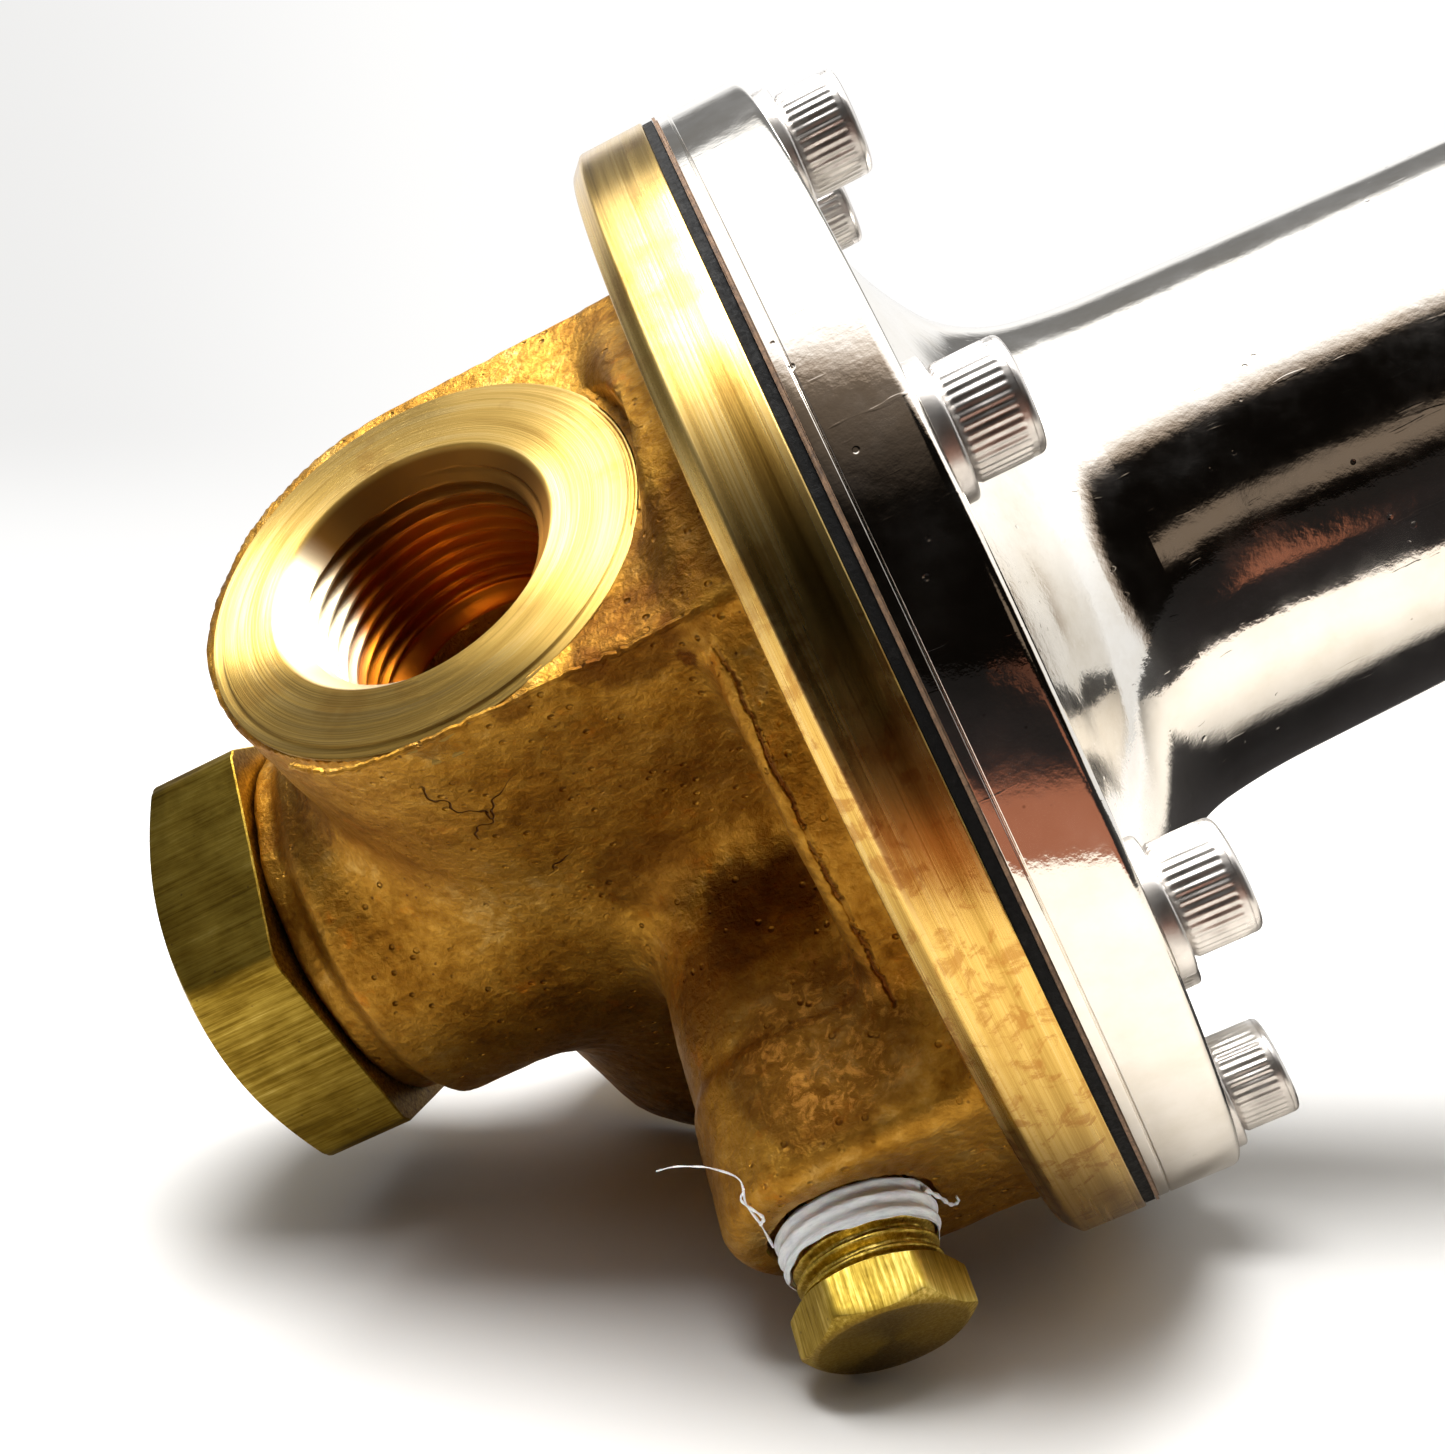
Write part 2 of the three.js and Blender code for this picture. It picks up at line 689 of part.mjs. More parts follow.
for (let k = 0; k < screwCount; k += 1) {
  const [x, y] = screwPlace(k);
  const washer = place(`washer_${k + 1}`, makeWasher(), steel());
  washer.position.set(x, y, bonnetFlangeTopZ + faceGap);
  const screw = place(`cap_screw_${k + 1}`, makeCapScrew(), steel());
  screw.position.set(x, y, bonnetFlangeTopZ + washerThickness + 2 * faceGap);
}

place('gauge_plug', makeGaugePlug(), barBrass());
place('gauge_plug_tape', makeTape(), tape());

export default model;
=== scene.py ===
import json
import math

import bpy
import numpy as np
from mathutils import Matrix, Vector


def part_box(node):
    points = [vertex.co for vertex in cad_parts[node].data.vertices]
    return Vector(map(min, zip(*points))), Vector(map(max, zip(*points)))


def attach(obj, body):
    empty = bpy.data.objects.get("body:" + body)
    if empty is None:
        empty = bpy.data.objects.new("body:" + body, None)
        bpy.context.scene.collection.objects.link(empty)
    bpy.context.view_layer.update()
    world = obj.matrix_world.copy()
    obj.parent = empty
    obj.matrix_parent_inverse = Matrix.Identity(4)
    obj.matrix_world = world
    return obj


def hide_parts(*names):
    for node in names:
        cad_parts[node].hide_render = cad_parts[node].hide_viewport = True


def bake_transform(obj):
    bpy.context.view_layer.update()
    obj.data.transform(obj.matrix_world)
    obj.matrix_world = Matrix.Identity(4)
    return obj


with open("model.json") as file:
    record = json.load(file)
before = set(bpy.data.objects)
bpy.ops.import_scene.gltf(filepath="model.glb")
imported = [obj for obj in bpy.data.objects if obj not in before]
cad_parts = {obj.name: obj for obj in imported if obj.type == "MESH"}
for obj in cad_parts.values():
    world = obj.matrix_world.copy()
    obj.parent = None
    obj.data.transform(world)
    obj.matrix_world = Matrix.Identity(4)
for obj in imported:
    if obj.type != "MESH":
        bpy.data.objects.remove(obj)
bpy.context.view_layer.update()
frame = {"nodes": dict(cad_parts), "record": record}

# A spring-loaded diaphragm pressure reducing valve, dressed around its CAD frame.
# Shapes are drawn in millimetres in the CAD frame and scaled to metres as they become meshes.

MM = 0.001
PI = math.pi


# ---- Places and sizes, from the frame ----

def box_mm(node):
    low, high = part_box(node)
    return np.array(low) / MM, np.array(high) / MM


def heights(node):
    """A node's lowest and highest Z."""
    low, high = box_mm(node)
    return low[2], high[2]


mounts = {m["name"]: np.array(m["pos_m"]) / MM for m in frame["record"]["mounts"]}
body_low, body_high = box_mm("body")
flange_radius = body_high[0]
joint_z = body_high[2]
body_bottom_z = body_low[2]
flange_z = joint_z - 8.0
hub_radius = 46.5
hub_z = 66.3

port_x = mounts["outlet_face"][0]
port_z = mounts["outlet_face"][2]
bore_z = port_z - 1.0
gauge_y = -mounts["gauge_port_face"][1]
plug_low, plug_high = box_mm("gauge_plug")
gauge_plug_end = -plug_low[1]
gauge_z = (plug_low[2] + plug_high[2]) / 2

bonnet_low, bonnet_high = box_mm("bonnet")
bonnet_z = bonnet_low[2]
bonnet_radius = bonnet_high[0]
bonnet_top = bonnet_high[2]
crown_z = bonnet_top - 8.0
deck_z = heights("washer_1")[0] - 0.05


# ---- Mesh helpers ----

def add_object(name, data):
    thing = bpy.data.objects.new(name, data)
    bpy.context.scene.collection.objects.link(thing)
    return thing


def dress(mesh, material):
    mesh.materials.clear()
    mesh.materials.append(material)


def add_piece(name, points, faces, body, material, slot, replaces=(), sharp=32.0):
    """A mesh piece from millimetre points, riding on a body and standing for CAD nodes."""
    mesh = bpy.data.meshes.new(name)
    mesh.from_pydata((np.asarray(points, float) * MM).tolist(), [], faces)
    mesh.validate()
    mesh.polygons.foreach_set("use_smooth", [True] * len(mesh.polygons))
    mesh.set_sharp_from_angle(angle=math.radians(sharp))
    mesh.materials.append(material)
    mesh.update()
    piece = add_object(name, mesh)
    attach(piece, body)
    if replaces:
        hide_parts(*replaces)
    return piece


def grid_faces(rows, columns, wrap):
    """Quads over a grid of rows that each close on themselves; wrap joins the last row to the first."""
    faces = []
    last = rows if wrap else rows - 1
    for i in range(last):
        a = i * columns
        b = (i + 1) % rows * columns
        for j in range(columns):
            k = (j + 1) % columns
            faces.append((a + j, a + k, b + k, b + j))
    return faces


def end_faces(rows, columns):
    """Triangles that close both ends of a grid, to two points that follow the grid's own."""
    start = rows * columns
    tail = start - columns
    faces = []
    for j in range(columns):
        k = (j + 1) % columns
        faces.append((start, k, j))
        faces.append((start + 1, tail + j, tail + k))
    return faces


def revolve(rings, count, wrap=False):
    """Points and faces of a body whose rings are (radius, z), each a number or one value per step of
    the turn. It is turned about Z. Unless it wraps, its ends are closed by a point on the axis."""
    turn = np.arange(count) * 2 * PI / count
    rows = []
    for radius, height in rings:
        radius = np.broadcast_to(radius, count)
        height = np.broadcast_to(height, count)
        rows.append(np.stack([radius * np.cos(turn), radius * np.sin(turn), height], 1))
    points = np.concatenate(rows)
    faces = grid_faces(len(rows), count, wrap)
    if not wrap:
        faces += end_faces(len(rows), count)
        ends = [[0, 0, np.mean(rows[0][:, 2])], [0, 0, np.mean(rows[-1][:, 2])]]
        points = np.concatenate([points, ends])
    return points, faces


def rounded(corners, steps=4, closed=False):
    """A profile of (radius, z) points from corners given as (radius, z, rounding)."""
    count = len(corners)
    profile = []
    for i, (r, z, rounding) in enumerate(corners):
        at_end = not closed and i in (0, count - 1)
        if at_end or rounding == 0:
            profile.append((r, z))
            continue
        corner = np.array([r, z])
        before = np.array(corners[i - 1][:2]) - corner
        after = np.array(corners[(i + 1) % count][:2]) - corner
        start = corner + before / np.linalg.norm(before) * rounding
        end = corner + after / np.linalg.norm(after) * rounding
        for t in np.linspace(0, 1, steps + 1):
            point = (1 - t) ** 2 * start + 2 * t * (1 - t) * corner + t ** 2 * end
            profile.append(tuple(point))
    return profile


def revolve_outline(corners, count, steps=4):
    """A ring-shaped body from the corners of its section, each (radius, z, rounding)."""
    return revolve(rounded(corners, steps, closed=True)[::-1], count, wrap=True)


def turned_over(faces):
    """The same faces with their fronts and backs swapped."""
    return [face[::-1] for face in faces]


def degrees(count):
    """The angles of a turn's steps."""
    return np.arange(count) * 360 / count


def hex_radius(turn, flats, first_corner, softness=2.2):
    """Polar radius of a hexagon whose corners are slightly rounded. Angles are in degrees."""
    phi = np.abs((turn - first_corner) % 60.0 - 30.0)
    radius = flats / 2 / np.cos(np.radians(phi))
    rounding = np.clip((phi - 30.0 + softness) / softness, 0, 1) ** 2
    return radius - 0.012 * flats * rounding


def hex_cone(outline, face, slope, end, shares):
    """Rings on the cone that chamfers a hexagon, at shares of the way from its face to its outline."""
    radii = [face + share * (outline - face) for share in shares]
    return [(radius, end + slope * (radius - face)) for radius in radii]


def hex_sides(outline, low, high, shares):
    """Rings on a hexagon's sides, at shares of the way from low to high."""
    return [(outline, low + share * (high - low)) for share in shares]


def tube(path, radius, sides=8):
    """Points and faces of a closed tube along a path, its radius a number or one per point."""
    path = np.asarray(path, float)
    radius = np.broadcast_to(radius, len(path))
    tangent = np.gradient(path, axis=0)
    tangent /= np.linalg.norm(tangent, axis=1)[:, None]
    side = np.cross(tangent[0], [0.31, 0.52, 0.79])
    rows = []
    for p, t, r in zip(path, tangent, radius):
        side = side - t * (side @ t)
        side /= np.linalg.norm(side)
        other = np.cross(t, side)
        a = np.arange(sides) * 2 * PI / sides
        rows.append(p + r * (np.outer(np.cos(a), side) + np.outer(np.sin(a), other)))
    points = np.concatenate([*rows, path[:1], path[-1:]])
    return points, grid_faces(len(path), sides, False) + end_faces(len(path), sides)


def wave(angle, seed, orders=(2, 3, 5, 8, 13)):
    """A smooth periodic wobble between about -1 and 1 around a turn, the same on every run."""
    random = np.random.default_rng(seed)
    total = np.zeros_like(angle)
    for order in orders:
        total += random.normal() * np.sin(order * angle + random.uniform(0, 2 * PI)) / order ** 0.5
    return total / 2


# ---- Materials ----

axis_z = (0.0, 0.0, 0.0)


def rgba(colour):
    """A socket as it is, or a colour's three numbers made opaque."""
    return colour if isinstance(colour, bpy.types.NodeSocket) else (*colour, 1)


class Nodes:
    """A node tree under construction. Most calls add nodes and return an output socket."""

    def __init__(self, tree, coordinates):
        self.tree = tree
        self.place = self.add("ShaderNodeTexCoord").outputs[coordinates]

    def add(self, kind, inputs=(), **settings):
        node = self.tree.nodes.new(kind)
        for key, value in settings.items():
            setattr(node, key, value)
        for key, value in dict(inputs).items():
            self.put(value, node.inputs[key])
        return node

    def put(self, value, socket):
        """Link a socket, or set a value. None leaves the socket as it is."""
        if isinstance(value, bpy.types.NodeSocket):
            self.tree.links.new(value, socket)
        elif value is not None:
            socket.default_value = value

    def maths(self, operation, a, b=0.0):
        return self.add("ShaderNodeMath", {0: a, 1: b}, operation=operation).outputs[0]

    def plus(self, a, b):
        return self.maths("ADD", a, b)

    def minus(self, a, b):
        return self.maths("SUBTRACT", a, b)

    def most(self, a, b):
        return self.maths("MAXIMUM", a, b)

    def times(self, product, *factors):
        for factor in factors:
            product = self.maths("MULTIPLY", product, factor)
        return product

    def rest(self, share):
        """What is left of 1."""
        return self.minus(1.0, share)

    def weighed(self, a, a_share, b, b_share):
        return self.plus(self.times(a, a_share), self.times(b, b_share))

    def off(self, a, b):
        """How far two values are apart."""
        return self.maths("ABSOLUTE", self.minus(a, b))

    def span(self, value, low, high, to_low=0.0, to_high=1.0):
        """A smooth step from one value at low to another at high."""
        inputs = {"Value": value, "From Min": low, "From Max": high, "To Min": to_low, "To Max": to_high}
        return self.add("ShaderNodeMapRange", inputs, interpolation_type="SMOOTHSTEP").outputs[0]

    def fade(self, value, low, high):
        """A smooth step from 1 at low down to 0 at high."""
        return self.span(value, low, high, 1.0, 0.0)

    def mix(self, share, a, b):
        return self.add("ShaderNodeMix", {0: share, 6: rgba(a), 7: rgba(b)}, data_type="RGBA").outputs[2]

    def coat(self, colour, over, *shares):
        """A colour with another laid over it, as much as the product of the shares."""
        return self.mix(self.times(*shares), colour, over)

    def along(self, direction):
        """How far the place lies along a direction."""
        inputs = {0: self.place, 1: tuple(direction)}
        return self.add("ShaderNodeVectorMath", inputs, operation="DOT_PRODUCT").outputs["Value"]


class Paint(Nodes):
    """The nodes of one material. Sizes are given in millimetres. The tree's own places are in metres."""

    def __init__(self, name):
        self.material = bpy.data.materials.new(name)
        self.material.use_nodes = True
        super().__init__(self.material.node_tree, "Object")
        self.shader = self.tree.nodes["Principled BSDF"]

    def scaled(self, scale, offset=(0, 0, 0), rotation=(0, 0, 0)):
        inputs = {"Vector": self.place, "Location": offset, "Rotation": rotation, "Scale": scale}
        return self.add("ShaderNodeMapping", inputs).outputs[0]

    def noise(self, size, detail=3.0, rough=0.55, vector=None, distortion=0.0, seed=0.0):
        """Noise between 0 and 1 whose blobs are about size millimetres across, or 1 unit of a vector."""
        return self.add("ShaderNodeTexNoise", {
            "Vector": vector or self.scaled((1, 1, 1), (seed, -seed, 2 * seed)),
            "Scale": 1.0 if vector else 1 / (size * MM),
            "Detail": detail, "Roughness": rough, "Distortion": distortion,
        }).outputs["Fac"]

    def cells(self, size):
        """How far a place is from the middle of an irregular cell, in cells of size millimetres."""
        inputs = {"Vector": self.place, "Scale": 1 / (size * MM)}
        return self.add("ShaderNodeTexVoronoi", inputs).outputs["Distance"]

    def edges(self, size):
        """How far a place is from the walls between irregular cells about size millimetres across."""
        bend = self.add("ShaderNodeTexNoise", {"Vector": self.place, "Scale": 1 / (0.4 * size * MM)})
        shift = self.add("ShaderNodeVectorMath", operation="MULTIPLY_ADD", inputs={
            0: bend.outputs["Color"], 1: [0.45 * size * MM] * 3, 2: self.place})
        inputs = {"Vector": shift.outputs[0], "Scale": 1 / (size * MM)}
        return self.add("ShaderNodeTexVoronoi", feature="DISTANCE_TO_EDGE", inputs=inputs).outputs["Distance"]

    def ramp(self, value, *stops):
        """A colour ramp from (position, colour) stops."""
        node = self.add("ShaderNodeValToRGB", {0: value})
        elements = node.color_ramp.elements
        while len(elements) < len(stops):
            elements.new(0.5)
        for element, (position, colour) in zip(elements, stops):
            element.position = position
            element.color = rgba(colour)
        return node.outputs["Color"]

    def bump(self, height, depth, normal=None):
        """A bump whose full height is depth millimetres."""
        inputs = {"Strength": 1.0, "Distance": depth * MM, "Height": height, "Normal": normal}
        return self.add("ShaderNodeBump", inputs).outputs[0]

    def parts(self):
        """The place's X, Y and Z."""
        return self.add("ShaderNodeSeparateXYZ", {0: self.place}).outputs

    def across_axis(self, axis, centre):
        """The two distances from an axis and the radius about it, in metres."""
        xyz = self.parts()
        first, second = [k for k in range(3) if k != axis]
        a = self.minus(xyz[first], centre[first] * MM)
        b = self.minus(xyz[second], centre[second] * MM)
        return a, b, self.maths("SQRT", self.plus(self.times(a, a), self.times(b, b)))

    def turned(self, axis, centre, across, around):
        """Coordinates that are long round an axis and short across it, for tool marks and brushing.
        across and around are the blob sizes in millimetres and in turns of the circle."""
        a, b, radius = self.across_axis(axis, centre)
        turn_scale = 1 / (2 * PI * around)
        return self.add("ShaderNodeCombineXYZ", {
            0: self.times(self.maths("DIVIDE", a, radius), turn_scale),
            1: self.times(self.maths("DIVIDE", b, radius), turn_scale),
            2: self.times(self.plus(radius, self.parts()[axis]), 1 / (across * MM)),
        }).outputs[0]

    def near(self, centre, radius, ragged=0.35):
        """1 inside a ragged blob about a point, 0 outside it."""
        inputs = {0: self.place, 1: [c * MM for c in centre]}
        distance = self.add("ShaderNodeVectorMath", inputs, operation="DISTANCE").outputs["Value"]
        reach = self.maths("DIVIDE", distance, radius * MM)
        rough = self.times(self.noise(radius * 0.5, 4), ragged * 2)
        return self.fade(self.plus(reach, rough), 0.9 + ragged, 1.2 + ragged)

    def done(self, colour, roughness, normal=None, metallic=1.0, **others):
        """The material, with its shader set. In the names of other inputs, _ stands for a space."""
        values = {"Base_Color": rgba(colour), "Roughness": roughness, "Normal": normal, "Metallic": metallic}
        for key, value in {**values, **others}.items():
            self.put(value, self.shader.inputs[key.replace("_", " ")])
        return self.material

    def brushed(self, axis, strength, lines_round_axis=True):
        """Brushed reflections, with lines that run round an axis of the piece or along it."""
        tangent = self.add("ShaderNodeTangent", direction_type="RADIAL", axis=axis).outputs[0]
        self.put(tangent, self.shader.inputs["Tangent"])
        self.shader.inputs["Anisotropic"].default_value = strength
        self.shader.inputs["Anisotropic Rotation"].default_value = 0.25 if lines_round_axis else 0.0


def cast_brass():
    paint = Paint("cast_brass")
    broad = paint.noise(11, 4, 0.6, seed=0.3)
    fine = paint.noise(1.6, 5, 0.65, distortion=0.4, seed=0.1)
    colour = paint.ramp(
        paint.weighed(broad, 0.62, fine, 0.38),
        (0.30, (0.14, 0.050, 0.004)),
        (0.44, (0.32, 0.145, 0.015)),
        (0.56, (0.50, 0.260, 0.036)),
        (0.74, (0.78, 0.520, 0.160)),
    )
    orange = paint.span(paint.noise(5, 5, 0.7, seed=0.7), 0.57, 0.72, 0.0, 0.75)
    colour = paint.mix(orange, colour, (0.50, 0.17, 0.012))
    specks = paint.span(paint.cells(1.3), 0.05, 0.16, 0.85, 0.0)
    gate = paint.span(paint.noise(7, 2, seed=1.4), 0.44, 0.56)
    colour = paint.coat(colour, (0.12, 0.05, 0.015), specks, gate)
    # Painted shade: dark ragged blobs in the hollows and fillets of the casting and on faces turned from the
    # light.
    painted_shade_spots = (
        ((-38.3, -21.5, 65.4), 1.6, 0.85),
        ((-11.7, -28.4, 57.6), 3.6, 0.55),
        ((-11.6, -32.5, 56.0), 3.0, 0.45),
        ((-11.8, -29.0, 63.0), 3.2, 0.50),
        ((-14.5, -22.3, 50.5), 5.0, 0.50),
        ((-26.0, -22.0, 62.5), 5.0, 0.30),
        ((-30.0, -22.0, 52.0), 7.0, 0.22),
        ((-12.0, -47.0, 60.0), 8.5, 0.62),
        ((-11.0, -36.0, 52.0), 5.0, 0.45),
        ((-24.0, -4.0, 19.0), 6.0, 0.45),
        ((-42.0, -20.5, 61.0), 4.5, 0.60),
        ((-42.0, -22.0, 42.0), 1.8, 0.45),
        ((-42.0, -22.0, 50.0), 1.8, 0.45),
        ((-42.0, -22.0, 57.0), 1.8, 0.45),
        ((-41.0, -22.0, 66.0), 2.2, 0.45),
        ((-40.0, -14.0, 69.0), 7.0, 0.60),
        ((-38.0, 2.0, 69.0), 7.0, 0.60),
    )
    for place, reach, share in painted_shade_spots:
        colour = paint.coat(colour, (0.10, 0.026, 0.004), paint.near(place, reach), share)
    cracks = paint.fade(paint.edges(11.0), 0.003, 0.009)
    cracked = 0.0
    crazed = (((-32.5, -21.7, 41.0), 4.5), ((-12.5, -49.0, 57.5), 3.5), ((-22.8, -21.8, 43.0), 3.0))
    for place, reach in crazed:
        cracked = paint.most(cracked, paint.near(place, reach))
    cracks = paint.times(cracks, cracked)
    colour = paint.coat(colour, (0.05, 0.015, 0.004), cracks, 0.9)
    flecks = paint.span(paint.noise(1.5, 6, 0.72, distortion=0.9, seed=2.7), 0.49, 0.62)
    flecks = paint.times(flecks, paint.near((-12.4, -45.5, 61.5), 8.0))
    colour = paint.coat(colour, (0.70, 0.33, 0.06), flecks, 0.55)
    wander = paint.times(paint.noise(3.0, 4, 0.6, seed=0.8), 1.6 * MM)
    height = paint.plus(paint.parts()[2], wander)
    groove = paint.fade(paint.off(height, (hub_z + 2.3) * MM), 0.08 * MM, 0.34 * MM)
    broken = paint.span(paint.noise(3.4, 3, 0.6, seed=3.3), 0.36, 0.50, 0.25, 1.0)
    reach = paint.across_axis(2, axis_z)[2]
    seam = paint.times(
        groove, broken,
        paint.span(reach, (hub_radius - 1.2) * MM, (hub_radius - 0.5) * MM),
        paint.fade(reach, (hub_radius + 1.0) * MM, (hub_radius + 1.6) * MM),
        paint.fade(paint.parts()[1], -26.5 * MM, -22.5 * MM),
    )
    colour = paint.coat(colour, (0.13, 0.035, 0.006), seam, 0.85)
    roughness = paint.span(fine, 0.3, 0.75, 0.50, 0.34)
    skin = paint.bump(paint.noise(0.8, 6, 0.66, distortion=0.3), 0.21)
    skin = paint.bump(paint.noise(3.6, 3, 0.5, seed=0.5), 0.35, skin)
    pits = paint.most(paint.span(paint.cells(1.9), 0.06, 0.20), paint.rest(gate))
    skin = paint.bump(pits, 0.30, skin)
    skin = paint.bump(paint.rest(cracks), 0.25, skin)
    skin = paint.bump(paint.rest(seam), 0.5, skin)
    return paint.done(colour, roughness, skin)


def turned_brass(name, axis, centre, axis_name, anisotropy, rough, groove, bore_radius=None):
    """Machined brass with fine tool rings round the axis. A bore gets a painted highlight on one side of its
    mouth and painted shade on the other, a redder thread further in and dark fans of painted reflection round
    it."""
    paint = Paint(name)
    rings = paint.noise(1, 4, 0.7, vector=paint.turned(axis, centre, 0.16, 0.35))
    wide = paint.noise(1, 3, 0.6, vector=paint.turned(axis, centre, 1.5, 0.22))
    stain = paint.noise(9, 5, 0.6, seed=0.9)
    colour = paint.ramp(
        paint.weighed(rings, 0.45, wide, 0.55),
        (0.32, (0.46, 0.27, 0.05)),
        (0.50, (0.76, 0.50, 0.13)),
        (0.70, (0.90, 0.70, 0.31)),
    )
    colour = paint.mix(paint.span(stain, 0.54, 0.70, 0.0, 0.65), colour, (0.50, 0.26, 0.05))
    # Painted shade: blotchy darkening over the side toward -Y, the viewer's side.
    blotchy_shade = paint.span(paint.noise(2.4, 6, 0.7, distortion=0.6, seed=1.9), 0.50, 0.62)
    lower = paint.span(paint.parts()[1], -20 * MM, -45 * MM, 0.0, 0.62)
    colour = paint.coat(colour, (0.42, 0.17, 0.03), blotchy_shade, lower)
    if bore_radius:
        inside = paint.span(paint.across_axis(axis, centre)[2], (bore_radius - 0.4) * MM,
                            (bore_radius + 0.2) * MM)
        depth = paint.maths("ABSOLUTE", paint.parts()[axis])
        across = paint.parts()[1]
        height = paint.minus(paint.parts()[2], centre[2] * MM)
        # Painted highlight and painted shade: the mouth of the bore is bright on one side and dark on the
        # other, and the bright side's colour reaches further in.
        bright = paint.fade(paint.weighed(across, 0.6, height, 0.8), -6.0 * MM, -0.5 * MM)
        depth = paint.plus(depth, paint.times(bright, 4.5 * MM))
        deep = paint.span(depth, (port_x - 8.5) * MM, (port_x - 3.5) * MM)
        mouth = paint.mix(bright, (0.27, 0.12, 0.022), (0.95, 0.84, 0.58))
        thread = paint.mix(deep, (0.56, 0.16, 0.010), mouth)
        # Painted reflection: dark fans on the face round the bore, toward +Y above and toward -Y below, where
        # the brushed face mirrors the dim room.
        upper = paint.times(paint.span(across, 12 * MM, 22 * MM, 0.0, 0.55),
                            paint.fade(height, 4 * MM, 10 * MM))
        lower = paint.span(paint.weighed(across, -0.85, height, -0.5), 8.5 * MM, 14 * MM, 0.0, 0.85)
        painted_dark_fans = paint.times(paint.plus(upper, lower), paint.span(rings, 0.30, 0.62, 0.55, 1.0))
        colour = paint.mix(painted_dark_fans, colour, (0.15, 0.09, 0.016))
        colour = paint.mix(inside, thread, colour)
    roughness = paint.span(wide, 0.3, 0.7, *rough)
    normal = paint.bump(rings, groove)
    paint.brushed(axis_name, anisotropy)
    return paint.done(colour, roughness, normal)


def drawn_brass(name, length_axis_scale, axis_name, painted_light_lift):
    """Hexagon bar: fine drawing lines along its length, dark streaks and a greenish tinge."""
    paint = Paint(name)
    lines = paint.noise(1, 4, 0.7, vector=paint.scaled(length_axis_scale))
    cloud = paint.noise(6, 4, 0.6, seed=0.2)
    colour = paint.ramp(
        # Painted light: a lift makes a lighter copy of the same brass.
        paint.plus(paint.weighed(lines, 0.6, cloud, 0.4), painted_light_lift),
        (0.30, (0.07, 0.040, 0.004)),
        (0.44, (0.22, 0.138, 0.014)),
        (0.58, (0.43, 0.300, 0.045)),
        (0.75, (0.80, 0.62, 0.18)),
    )
    nicks = paint.span(paint.cells(1.6), 0.04, 0.12, 0.7, 0.0)
    gate = paint.span(paint.noise(5, 2, seed=2.1), 0.5, 0.58)
    colour = paint.coat(colour, (0.10, 0.06, 0.02), nicks, gate)
    face = paint.span(paint.maths("ABSOLUTE", paint.parts()[1]), (gauge_plug_end - 0.35) * MM,
                      (gauge_plug_end - 0.10) * MM, 0.0, 0.65)
    colour = paint.mix(face, colour, (0.20, 0.12, 0.02))
    roughness = paint.span(lines, 0.3, 0.7, 0.46, 0.34)
    normal = paint.bump(lines, 0.03, paint.bump(cloud, 0.12))
    paint.brushed(axis_name, 0.7, False)
    return paint.done(colour, roughness, normal)


def nickel_plate():
    paint = Paint("nickel_plate")
    wear = paint.noise(7, 6, 0.65, seed=0.4)
    fine = paint.noise(0.6, 3, 0.6)
    colour = paint.ramp(wear, (0.25, (0.76, 0.71, 0.63)), (0.6, (0.87, 0.84, 0.79)))
    dust = paint.span(paint.cells(2.4), 0.03, 0.07, 0.6, 0.0)
    gate = paint.span(paint.noise(9, 2, seed=0.8), 0.52, 0.6)
    colour = paint.coat(colour, (0.30, 0.26, 0.22), dust, gate)
    roughness = paint.span(wear, 0.35, 0.75, 0.06, 0.15)
    scratch = paint.noise(1, 2, 0.5, vector=paint.scaled((900, 900, 140), rotation=(0.5, 0.2, 0.4)))
    normal = paint.bump(paint.noise(16, 2, seed=1.1), 0.13)
    normal = paint.bump(paint.noise(2.6, 4, 0.6, seed=2.3), 0.030, normal)
    normal = paint.bump(fine, 0.005, normal)
    pits = paint.span(paint.cells(2.2), 0.04, 0.16)
    pits = paint.most(pits, paint.fade(paint.noise(11, 2, seed=3.1), 0.56, 0.62))
    normal = paint.bump(pits, 0.04, normal)
    normal = paint.bump(paint.span(scratch, 0.66, 0.72), 0.006, normal)
    return paint.done(colour, roughness, normal)


def stainless(name="stainless_steel", tint=(0.72, 0.69, 0.66), rough=(0.27, 0.40)):
    paint = Paint(name)
    cloud = paint.noise(3.5, 5, 0.6, seed=0.6)
    fine = paint.noise(0.35, 3, 0.6)
    colour = paint.mix(paint.span(cloud, 0.35, 0.7), [c * 0.78 for c in tint], tint)
    roughness = paint.span(cloud, 0.3, 0.75, rough[1], rough[0])
    return paint.done(colour, roughness, paint.bump(fine, 0.006))


def rubber():
    paint = Paint("black_rubber")
    fine = paint.noise(0.5, 5, 0.7)
    dust = paint.span(paint.noise(2.2, 4, 0.7, seed=0.2), 0.62, 0.78, 0.0, 0.25)
    colour = paint.mix(dust, (0.004, 0.004, 0.004), (0.05, 0.045, 0.04))
    return paint.done(colour, paint.span(fine, 0.3, 0.7, 0.6, 0.85), paint.bump(fine, 0.08), 0.0,
                      Specular_IOR_Level=0.15)


def fibre():
    paint = Paint("fibre_sheet")
    fine = paint.noise(0.7, 5, 0.75)
    colour = paint.ramp(fine, (0.3, (0.05, 0.03, 0.02)), (0.7, (0.26, 0.15, 0.08)))
    return paint.done(colour, 0.85, paint.bump(fine, 0.08), 0.0)


def thread_tape():
    paint = Paint("thread_tape")
    fine = paint.noise(0.8, 4, 0.6)
    folds = paint.noise(1, 3, 0.6, vector=paint.scaled((500, 2600, 500)))
    colour = paint.ramp(folds, (0.3, (0.62, 0.63, 0.66)), (0.6, (0.88, 0.88, 0.89)))
    normal = paint.bump(folds, 0.10, paint.bump(fine, 0.05))
    return paint.done(colour, 0.55, normal, 0.0, Subsurface_Weight=0.15, Subsurface_Scale=0.0006)


